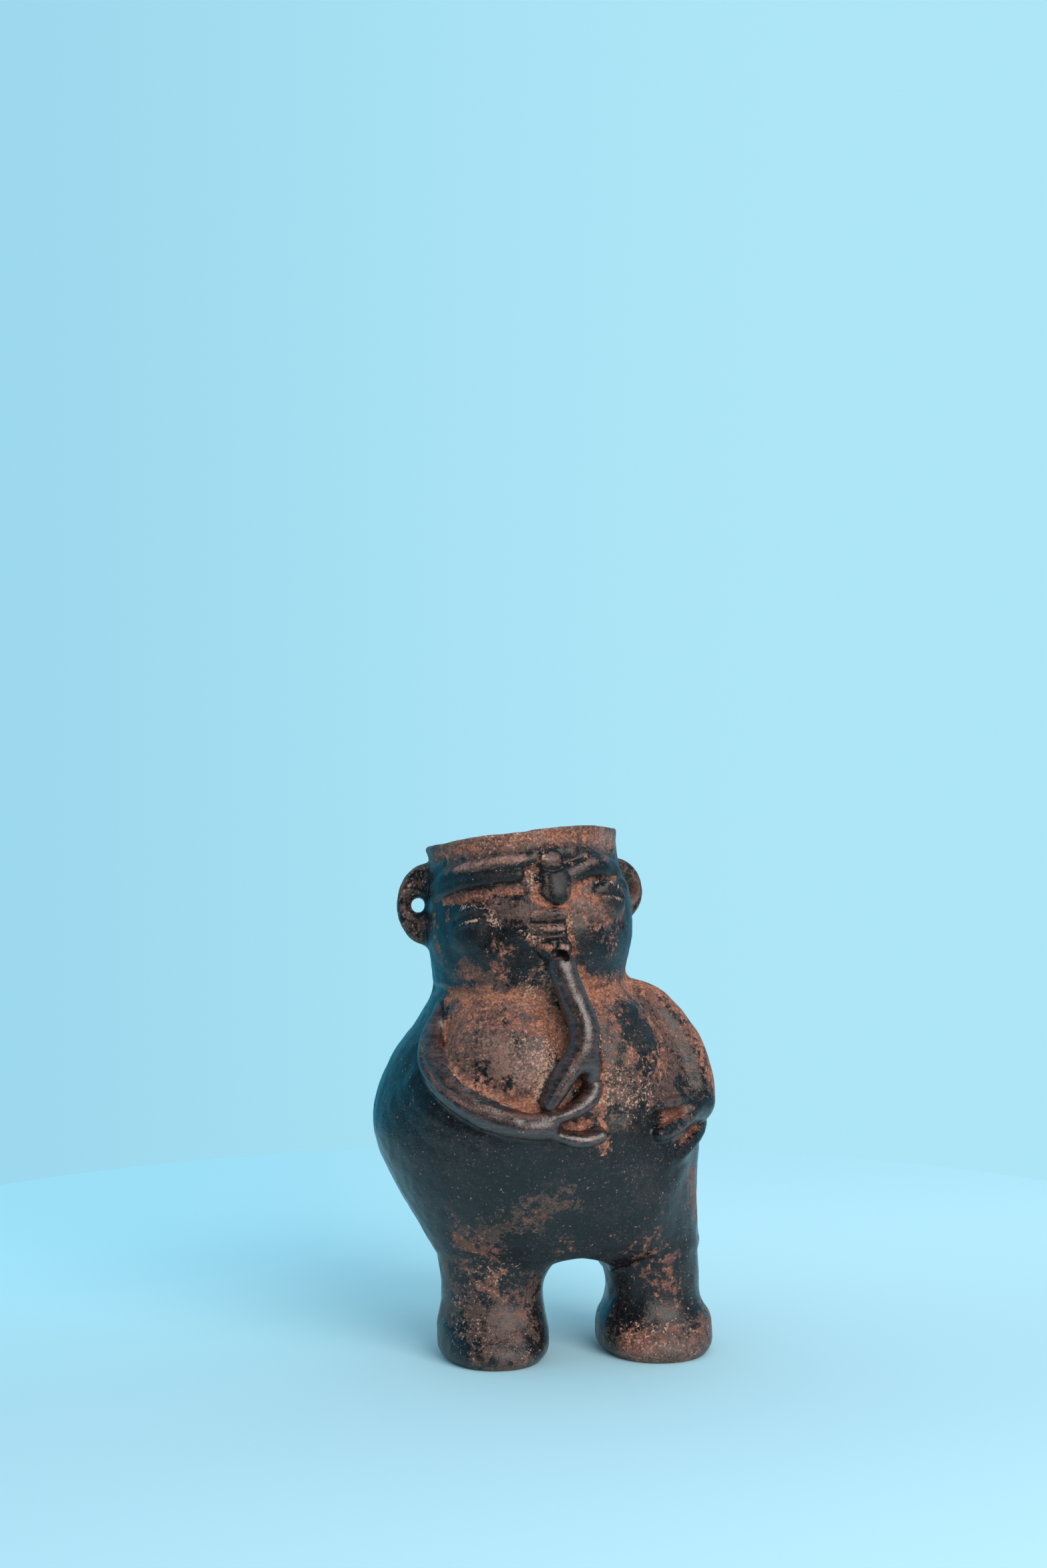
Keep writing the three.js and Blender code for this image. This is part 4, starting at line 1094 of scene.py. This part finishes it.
# Dark slip kept bare of wear and dirt, and painted shade in creases, slits, cracks and hollows
DARK_SLIP_AND_SHADE = [
    # painted shade in the crease of the breast's lower side, and along the groove at the right arm's inner
    # edge
    (2.4, 0.46, (-33, 121, 2), (-31.6, 117, 2), (-26, 111.4, 2), (-20, 107, 2), (-11, 104, 2)),
    (0.9, 1, (-57, 124.6, 2), (-51.4, 118, 2), (-42, 109, 2), (-32.6, 102.8, 2), (-21.6, 98.6, 2),
     (-10, 97.2, 2)),
    # dark slip on the brows, the nose and patches of the chest and breast
    (3.6, 0.55, (20, 183), (36, 184), (56, 182)),
    (2.4, 0.8, (-66, 176.5, 2.6), (-46, 179.4, 3), (-28, 181.8, 3.2), (-13, 182.8, 2.6)),
    (3.6, 0.7, (8.6, 181, 3), (6.4, 175, 3.6)),
    (7, 0.5, (44, 122), (34, 125)),
    (7, 0.26, (-33, 123), (-25, 117)),
    (5, 0.16, (-20, 120), (-14, 112)),
    # darker under the right eye
    (5.5, 0.7, (-40, 160.4), (-52, 160)),
    # painted shade in the slits of the eyes
    (1.4, 1.1, (-52, 165.4, 2), (-45, 167.3, 2), (-34, 168.8, 2)),
    (1.5, 1.1, (29, 176.6, 1.6), (37, 176.3, 2), (46, 174.9, 1.6)),
    # dark slip on the left eyeball
    (3.8, 0.8, (36, 171, 3.4), (43, 170.4, 3.4)),
    # painted shade in the hollow over the flute, the mouth's slit, the crack round the knob and the hollow
    # between the right hand's fingers
    (2.2, 1, (4, 154.8, 3), (8, 153, 3)),
    (0.8, 0.8, (-8, 165.6, 1), (9, 165.8, 1)),
    (0.9, 1, (-1, 186, 1), (4, 183.6, 2.4), (10, 184.2, 1.6)),
    (1.6, 0.5, (3.4, 105, 1), (2, 102, 1)),
]
POLISHED = ("flute", "right_thumb", "right_upper_finger", "right_arm", "right_lower_finger")


def paint(points, layer):
    """Strength of a layer of strokes at each point."""
    strength = np.zeros(len(points))
    for width, amount, *path in layer:
        stops = path_points(path)
        low, high = stops.min(axis=0) - 2 * width, stops.max(axis=0) + 2 * width
        near = np.all((points > low) & (points < high), axis=1)
        gap = polyline_distance(*points[near].T.astype(np.float32), stops)
        strength[near] = np.maximum(strength[near], amount * np.exp(-((gap / width) ** 2)))
    return strength


# How deep the probes for recesses and ridges reach, and the reading that counts as a full one
RECESS_PROBES = (1.5, 3.0, 5.0)
RIDGE_PROBES = (1.0, 2.0)
FULL_RECESS = 1.6
FULL_RIDGE = 0.5


def clay_layers(clay, owner, number, points, normals):
    """The attributes that the material reads at each point of the skin."""
    recess = sum(s - sample(clay, points + s * normals) for s in RECESS_PROBES) / len(RECESS_PROBES)
    ridge = sum(s + sample(clay, points - s * normals) for s in RIDGE_PROBES) / len(RIDGE_PROBES)
    polished = np.isin(owner, [number[name] for name in POLISHED])
    return {
        "recess": np.clip(recess / FULL_RECESS, 0, 1),
        "ridge": np.clip(ridge / FULL_RIDGE, 0, 1),
        "rust": paint(points, RUST),
        "soil": paint(points, SOIL),
        "brown": paint(points, BROWN),
        "dark": paint(points, DARK_SLIP_AND_SHADE),
        "polish": sample(polished.astype(np.float32), points),
    }


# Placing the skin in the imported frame

BOX_MARGIN = 0.05
SAME_HEIGHT = 1e-5


def frame_shift():
    """What takes the source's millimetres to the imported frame's: from the middle of the neck's section."""
    head = frame["nodes"]["head_wall"].data.vertices
    neck = np.array([vertex.co[:2] for vertex in head if abs(vertex.co.z - NECK_Z * MM) < SAME_HEIGHT])
    right, left, front, back, _ = wall_sizes(NECK_Z)
    middle = (neck.min(axis=0) + neck.max(axis=0)) / 2 / MM
    return np.array([middle[0] - (left - right) / 2, middle[1] - (back - front) / 2, 0])


def squeeze_into_box(points):
    """Draws the skin in by the little that its unevenness stands out of the CAD's box."""
    low, high = (np.array(corner) / MM - shift for corner in cad_box)
    middle, half = (low + high) / 2, (high - low) / 2 - BOX_MARGIN
    middle[2], half[2] = 0, high[2] - BOX_MARGIN
    most = np.abs(points - middle).max(axis=0)
    squeezed = middle + (points - middle) * np.minimum(1, half / most)
    squeezed[:, 2] = np.maximum(squeezed[:, 2], 0)
    return squeezed


def make_piece(name, points, normals, outer, faces, layers, material):
    """One piece's closed mesh. Its outer points carry the whole skin's normals, so no seam shades."""
    used, corners = np.unique(faces, return_inverse=True)
    corners = corners.reshape(-1, 4)
    mesh = bpy.data.meshes.new(name + "_clay")
    mesh.vertices.add(len(used))
    mesh.vertices.foreach_set("co", ((points[used] + shift) * MM).astype(np.float32).ravel())
    mesh.loops.add(corners.size)
    mesh.loops.foreach_set("vertex_index", corners.astype(np.int32).ravel())
    mesh.polygons.add(len(corners))
    mesh.polygons.foreach_set("loop_start", np.arange(0, corners.size, 4, dtype=np.int32))
    mesh.update(calc_edges=True)
    mesh.validate()
    mesh.shade_smooth()
    for layer, values in layers.items():
        attribute = mesh.attributes.new(layer, "FLOAT", "POINT")
        attribute.data.foreach_set("value", values[used].astype(np.float32))
    mesh.normals_split_custom_set_from_vertices(np.where(outer[used, None], normals[used], 0).tolist())
    mesh.materials.append(material)
    piece = bpy.data.objects.new(name + "_skin", mesh)
    bpy.context.scene.collection.objects.link(piece)
    return piece


# Materials

SLIP_BLACK = (0.0065, 0.0050, 0.0056)
SLIP_BROWN = (0.0210, 0.0130, 0.0115)
UMBER = (0.082, 0.040, 0.029)
HANDLED = (0.070, 0.029, 0.022)
GREY_BROWN = (0.262, 0.127, 0.093)
RED_BROWN = (0.176, 0.060, 0.039)
ORANGE = (0.300, 0.107, 0.058)
TAN = (0.365, 0.206, 0.142)
CLAY_SPECULAR = 0.5
POLISHED_SPECULAR = 0.95
POLISHED_SLOT = "polished_highlight"

# Blender's noise keeps close to its middle, so its spread takes it out to about -1 and 1. The coverage's
# spread then lets a coverage of 0 leave nearly nothing of a patch, and 1 leave nearly no gap in it.
NOISE_MIDDLE = 0.5
NOISE_SPREAD = 6.5
COVERAGE_SPREAD = 3.2


class Tree:
    """Small helpers that add nodes to a material or to the world."""

    def __init__(self, owner, coordinates="Object"):
        owner.use_nodes = True
        self.nodes = owner.node_tree.nodes
        self.links = owner.node_tree.links
        self.nodes.clear()
        self.place = self.node("ShaderNodeTexCoord", {})[coordinates]

    def node(self, kind, inputs, **settings):
        """Adds a node, feeds its inputs and gives its outputs."""
        node = self.nodes.new(kind)
        for name, setting in settings.items():
            setattr(node, name, setting)
        for name, value in inputs.items():
            socket = node.inputs[name]
            if isinstance(value, bpy.types.NodeSocket):
                self.links.new(value, socket)
            elif socket.type == "RGBA":
                socket.default_value = (*value, 1.0)
            else:
                socket.default_value = value
        return node.outputs

    def attribute(self, name):
        return self.node("ShaderNodeAttribute", {}, attribute_name=name)["Fac"]

    def noise(self, size_mm, detail=3.0, roughness=0.55, stretch=None):
        place = self.place
        if stretch:
            place = self.node("ShaderNodeMapping", {"Vector": place, "Scale": stretch})["Vector"]
        inputs = {"Vector": place, "Scale": 1 / (size_mm * MM), "Detail": detail, "Roughness": roughness}
        return self.node("ShaderNodeTexNoise", inputs)["Fac"]

    def uneven(self, size_mm, detail, roughness=0.6, stretch=None):
        """Noise about 0, mostly between -1 and 1."""
        fac = self.noise(size_mm, detail, roughness, stretch)
        return self.times(self.math("SUBTRACT", fac, NOISE_MIDDLE), NOISE_SPREAD)

    def math(self, operation, a, b):
        return self.node("ShaderNodeMath", {0: a, 1: b}, operation=operation)[0]

    def times(self, a, b):
        return self.math("MULTIPLY", a, b)

    def total(self, start, *shares):
        """A value plus a share of each of some others."""
        for value, share in shares:
            start = self.math("ADD", start, self.times(value, share))
        return start

    def ramp(self, value, low, high, bottom=0.0, top=1.0):
        """Smooth step of a value between two limits."""
        inputs = {"Value": value, "From Min": low, "From Max": high, "To Min": bottom, "To Max": top}
        return self.node("ShaderNodeMapRange", inputs, interpolation_type="SMOOTHSTEP")["Result"]

    def patches(self, coverage, noise, softness):
        """Patches that cover a share of the surface, with their edges broken up by a noise."""
        level = self.total(-COVERAGE_SPREAD / 2, (noise, 1), (coverage, COVERAGE_SPREAD))
        return self.ramp(level, -softness, softness)

    def mix(self, share, a, b):
        """Colour a turned into colour b by a share."""
        return self.node("ShaderNodeMix", {0: share, 6: a, 7: b}, data_type="RGBA")[2]

    def blend(self, share, a, b):
        """Number a turned into number b by a share."""
        return self.node("ShaderNodeMix", {0: share, 2: a, 3: b}, data_type="FLOAT")[0]

    def bump(self, height, distance_mm, strength, below=None):
        """Relief of a height on top of the relief below it."""
        inputs = {"Height": height, "Distance": distance_mm * MM, "Strength": strength}
        if below is not None:
            inputs["Normal"] = below
        return self.node("ShaderNodeBump", inputs)["Normal"]

    def surface(self, inputs):
        shader = self.node("ShaderNodeBsdfPrincipled", inputs)["BSDF"]
        self.node("ShaderNodeOutputMaterial", {"Surface": shader})


class Clay(Tree):
    """Burnished black slip over red clay, worn and stained, with painted highlights and painted shade. The
    painted layers say where.
    """

    def __init__(self, material, specular):
        super().__init__(material)
        self.broad, self.tint = self.uneven(15, 3), self.uneven(9, 4)
        self.blotch, self.other = self.uneven(4.6, 8, 0.7), self.uneven(2.9, 8, 0.72)
        self.mottle, self.grain = self.uneven(1.6, 5, 0.72), self.uneven(0.8, 2)
        self.streaks = self.uneven(2.2, 3, 0.6, stretch=(0.30, 0.30, 2.0))
        self.polish, self.dark_slip_and_shade_at = self.attribute("polish"), self.attribute("dark")
        self.wear()
        self.surface({
            "Base Color": self.colour(),
            "Roughness": self.roughness(),
            "Normal": self.relief(),
            "Specular IOR Level": specular,
        })

    def wear(self):
        """Where each layer of wear and dirt lies. The brown and soil layers also hold painted highlights,
        and the dark layer holds painted shade, which keeps wear out of creases, slits and hollows.
        """
        recess, dark, polish = self.attribute("recess"), self.dark_slip_and_shade_at, self.polish
        self.brown_at = self.total(
            0.09, (self.attribute("brown"), 1), (recess, 0.15), (dark, -0.7), (polish, -0.55))
        rust_at = self.total(
            0.03, (self.attribute("rust"), 1), (recess, 0.22), (dark, -0.6), (polish, -0.75))
        soil_at = self.total(
            0.05, (self.attribute("soil"), 1), (recess, 0.20), (dark, -0.3), (polish, -0.5))
        noise = self.total(0, (self.broad, 0.45), (self.blotch, 0.75), (self.mottle, 0.5))
        self.brown = self.patches(self.brown_at, noise, 0.34)
        noise = self.total(0, (self.tint, 0.4), (self.blotch, 0.4), (self.other, 0.75))
        self.red = self.patches(rust_at, noise, 0.34)
        noise = self.total(0, (self.other, 0.65), (self.mottle, 0.6))
        self.orange = self.patches(self.times(rust_at, 0.80), noise, 0.38)
        noise = self.total(0, (self.mottle, 0.75), (self.grain, 0.45))
        self.tan = self.patches(self.times(soil_at, 0.9), noise, 0.26)
        noise = self.total(0, (self.mottle, 0.6), (self.tint, 0.6))
        self.left_dark = self.patches(self.total(0.32, (rust_at, -0.10)), noise, 0.3)
        noise = self.total(0, (self.grain, 0.75), (self.streaks, 0.3), (self.other, 0.4))
        self.specks = self.patches(self.total(0.13, (soil_at, 0.14)), noise, 0.15)

    def colour(self):
        slip = self.ramp(self.total(self.broad, (self.mottle, 1)), -0.3, 1.6)
        pale = self.ramp(self.total(self.brown_at, (self.tint, 0.16), (self.mottle, 0.12)), 0.60, 1.05)
        handled = self.ramp(self.total(self.blotch, (self.streaks, 1)), -1.2, 1.2, 0.15, 0.85)
        colour = self.mix(slip, SLIP_BLACK, SLIP_BROWN)
        for share, over in (
            (self.brown, self.mix(pale, UMBER, GREY_BROWN)),
            (self.times(self.polish, handled), HANDLED),
            (self.red, RED_BROWN),
            (self.orange, ORANGE),
            (self.times(self.left_dark, 0.56), SLIP_BROWN),
            (self.times(self.tan, 0.85), TAN),
            (self.times(self.specks, 0.6), TAN),
        ):
            colour = self.mix(share, colour, over)
        shade = self.total(1.0, (self.grain, 0.28), (self.mottle, 0.24), (self.streaks, 0.16))
        inputs = {0: colour, "Scale": self.math("MAXIMUM", shade, 0.4)}
        return self.node("ShaderNodeVectorMath", inputs, operation="SCALE")["Vector"]

    def roughness(self):
        rough = self.blend(self.brown, 0.27, 0.46)
        rough = self.blend(self.polish, rough, self.total(0.225, (self.blotch, 0.05)))
        for share, worn in ((self.red, 0.56), (self.orange, 0.70), (self.tan, 0.78)):
            rough = self.blend(share, rough, worn)
        rough = self.total(
            rough, (self.dark_slip_and_shade_at, 0.26), (self.blotch, 0.035), (self.streaks, 0.02),
            (self.attribute("ridge"), -0.03))
        return self.math("MAXIMUM", rough, 0.18)

    def relief(self):
        scratches = self.noise(1.1, 2, 0.5, stretch=(0.22, 0.22, 2.2))
        crust = self.total(
            0, (self.mottle, 0.08), (self.orange, 0.30), (self.tan, 0.35), (self.specks, 0.3))
        relief = self.bump(self.times(self.blotch, 0.1), 1.0, 0.35)
        relief = self.bump(scratches, 0.10, 0.40, relief)
        relief = self.bump(crust, 0.45, 0.65, relief)
        return self.bump(self.times(self.grain, 0.15), 0.10, 0.6, relief)


def fired_clay(slot):
    material = bpy.data.materials.new(slot)
    Clay(material, POLISHED_SPECULAR if slot == POLISHED_SLOT else CLAY_SPECULAR)
    return material


# The pieces

# Height, wavelength and number of the waves that make the skin uneven, and the height up to which the
# soles stay calm
RIPPLES = ((0.34, 34, 9), (0.10, 9, 14), (0.04, 4, 14))
CALM_UP_TO_Z = 6


def roughen(points, normals, outer):
    """Gives the skin the unevenness of work by hand."""
    random = np.random.default_rng(SEED)
    relief = sum(height * ripple(points, length, waves, random) for height, length, waves in RIPPLES)
    calm = np.clip(points[:, 2] / CALM_UP_TO_Z, 0, 1)
    return points + np.where(outer, relief * calm, 0)[:, None] * normals


shift = frame_shift()
clay, owner, number = sculpt()
points, faces, owners, is_skin, outer = extract_skin(clay, owner)
points = smooth_inside(points, faces, outer)
points = roughen(points, skin_normals(points, faces[is_skin]), outer)
normals = skin_normals(points, faces[is_skin])
layers = clay_layers(clay, owner, number, points, normals)
points = squeeze_into_box(points)

slots = {part["node"]: part["material_slot"] for part in frame["record"]["subparts"]}
clays = {slot: fired_clay(slot) for slot in sorted(set(slots.values()))}
for name, mine in number.items():
    piece = make_piece(name, points, normals, outer, faces[owners == mine], layers, clays[slots[name]])
    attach(piece, "root")
    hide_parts(name)


# Table

TABLE_RADIUS = 0.386
TABLE_MIDDLE = (0.0148, 0.0837)
TABLE_THICKNESS = 0.012
TABLE_SIDES = 128
# The table's colour grades from left to right and from front to back: painted light and shade over an evenly
# coloured top.
TABLE_BACK_LEFT = (0.455, 0.810, 0.915)
TABLE_BACK_RIGHT = (0.557, 0.812, 0.885)
TABLE_FRONT = (0.435, 0.655, 0.732)


def split_axes(tree):
    """The x, y and z of a tree's own coordinates."""
    return tree.node("ShaderNodeSeparateXYZ", {0: tree.place})


def table_material():
    material = bpy.data.materials.new("pale_blue_table")
    tree = Tree(material)
    x, y, _ = split_axes(tree)
    # painted light and shade: the colour grades across the table
    back = tree.mix(tree.ramp(x, -0.16, 0.16), TABLE_BACK_LEFT, TABLE_BACK_RIGHT)
    colour = tree.mix(tree.ramp(y, -0.12, 0.25), TABLE_FRONT, back)
    tree.surface({"Base Color": colour, "Roughness": 0.9, "Specular IOR Level": 0.2})
    return material


def make_table():
    """A thin round table top."""
    turns = [2 * math.pi * i / TABLE_SIDES for i in range(TABLE_SIDES)]
    middle_x, middle_y = TABLE_MIDDLE
    rim = [(middle_x + TABLE_RADIUS * math.cos(t), middle_y + TABLE_RADIUS * math.sin(t)) for t in turns]
    corners = [(x, y, z) for z in (0, -TABLE_THICKNESS) for x, y in rim]
    top = list(range(TABLE_SIDES))
    after = top[1:] + top[:1]
    bottom = [TABLE_SIDES + i for i in reversed(top)]
    edge = [(i, TABLE_SIDES + i, TABLE_SIDES + j, j) for i, j in zip(top, after)]
    mesh = bpy.data.meshes.new("table")
    mesh.from_pydata(corners, [], [top, bottom, *edge])
    mesh.materials.append(table_material())
    table = bpy.data.objects.new("table", mesh)
    bpy.context.scene.collection.objects.link(table)


# Light

KEY_PLACE = (0.34, -0.90, 0.56)
KEY_TARGET = (0, 0, 0.11)
KEY_WIDTH = 0.74
KEY_HEIGHT = 0.90
KEY_POWER = 11.0
KEY_COLOUR = (1, 0.95, 0.915)
BACKDROP_LEFT = (0.33, 0.68, 0.85)
BACKDROP_RIGHT = (0.42, 0.79, 0.93)
MIRRORED_FRONT = (0.035, 0.055, 0.065)
MIRRORED_LEFT = (0.05, 0.45, 0.70)
MIRRORED_RIGHT = (0.14, 0.42, 0.57)
LIGHT_BELOW = (0.20, 0.36, 0.43)
LIGHT_ABOVE = (0.66, 0.88, 1.0)


def make_key_lamp():
    lamp = bpy.data.lights.new("key", "AREA")
    lamp.shape = "RECTANGLE"
    lamp.size = KEY_WIDTH
    lamp.size_y = KEY_HEIGHT
    lamp.energy = KEY_POWER
    lamp.color = KEY_COLOUR
    holder = bpy.data.objects.new("key", lamp)
    holder.location = KEY_PLACE
    aim = Vector(KEY_TARGET) - Vector(KEY_PLACE)
    holder.rotation_euler = aim.to_track_quat("-Z", "Y").to_euler()
    bpy.context.scene.collection.objects.link(holder)


def make_world():
    """Pale blue behind the object and in its reflections, and a plain soft light elsewhere."""
    world = bpy.data.worlds.new("backdrop")
    bpy.context.scene.world = world
    tree = Tree(world, "Generated")
    x, y, z = split_axes(tree)
    rays = tree.node("ShaderNodeLightPath", {})
    seen = tree.mix(tree.ramp(x, -0.12, 0.30), BACKDROP_LEFT, BACKDROP_RIGHT)
    beside = tree.mix(tree.ramp(x, -0.5, 0.6), MIRRORED_LEFT, MIRRORED_RIGHT)
    mirrored = tree.mix(tree.ramp(y, -0.75, 0.30), MIRRORED_FRONT, beside)
    light = tree.mix(tree.ramp(z, -0.4, 0.9), LIGHT_BELOW, LIGHT_ABOVE)
    colour = tree.mix(rays["Is Glossy Ray"], light, mirrored)
    straight = tree.math("MAXIMUM", rays["Is Camera Ray"], rays["Is Transmission Ray"])
    colour = tree.mix(straight, colour, seen)
    background = tree.node("ShaderNodeBackground", {"Color": colour})["Background"]
    tree.node("ShaderNodeOutputWorld", {"Surface": background})


# Camera

LENS_MM = 50
SENSOR_MM = 36
CLIP_START = 0.05
CAMERA_TURN = 10.0
CAMERA_DISTANCE = 0.826
CAMERA_HEIGHT = 0.2155
CAMERA_ASIDE = 0.0077


def make_camera():
    """A level camera, turned a little and moved aside."""
    turn = math.radians(CAMERA_TURN)
    ahead = np.array([math.sin(turn), math.cos(turn)])
    aside = np.array([math.cos(turn), -math.sin(turn)])
    camera = bpy.data.cameras.new("camera")
    camera.lens = LENS_MM
    camera.sensor_width = SENSOR_MM
    camera.clip_start = CLIP_START
    holder = bpy.data.objects.new("camera", camera)
    holder.location = (*(shift[:2] * MM - CAMERA_DISTANCE * ahead - CAMERA_ASIDE * aside), CAMERA_HEIGHT)
    holder.rotation_euler = (math.pi / 2, 0, -turn)
    bpy.context.scene.collection.objects.link(holder)
    bpy.context.scene.camera = holder


make_table()
make_key_lamp()
make_world()
make_camera()
bpy.context.scene.view_settings.view_transform = "Standard"
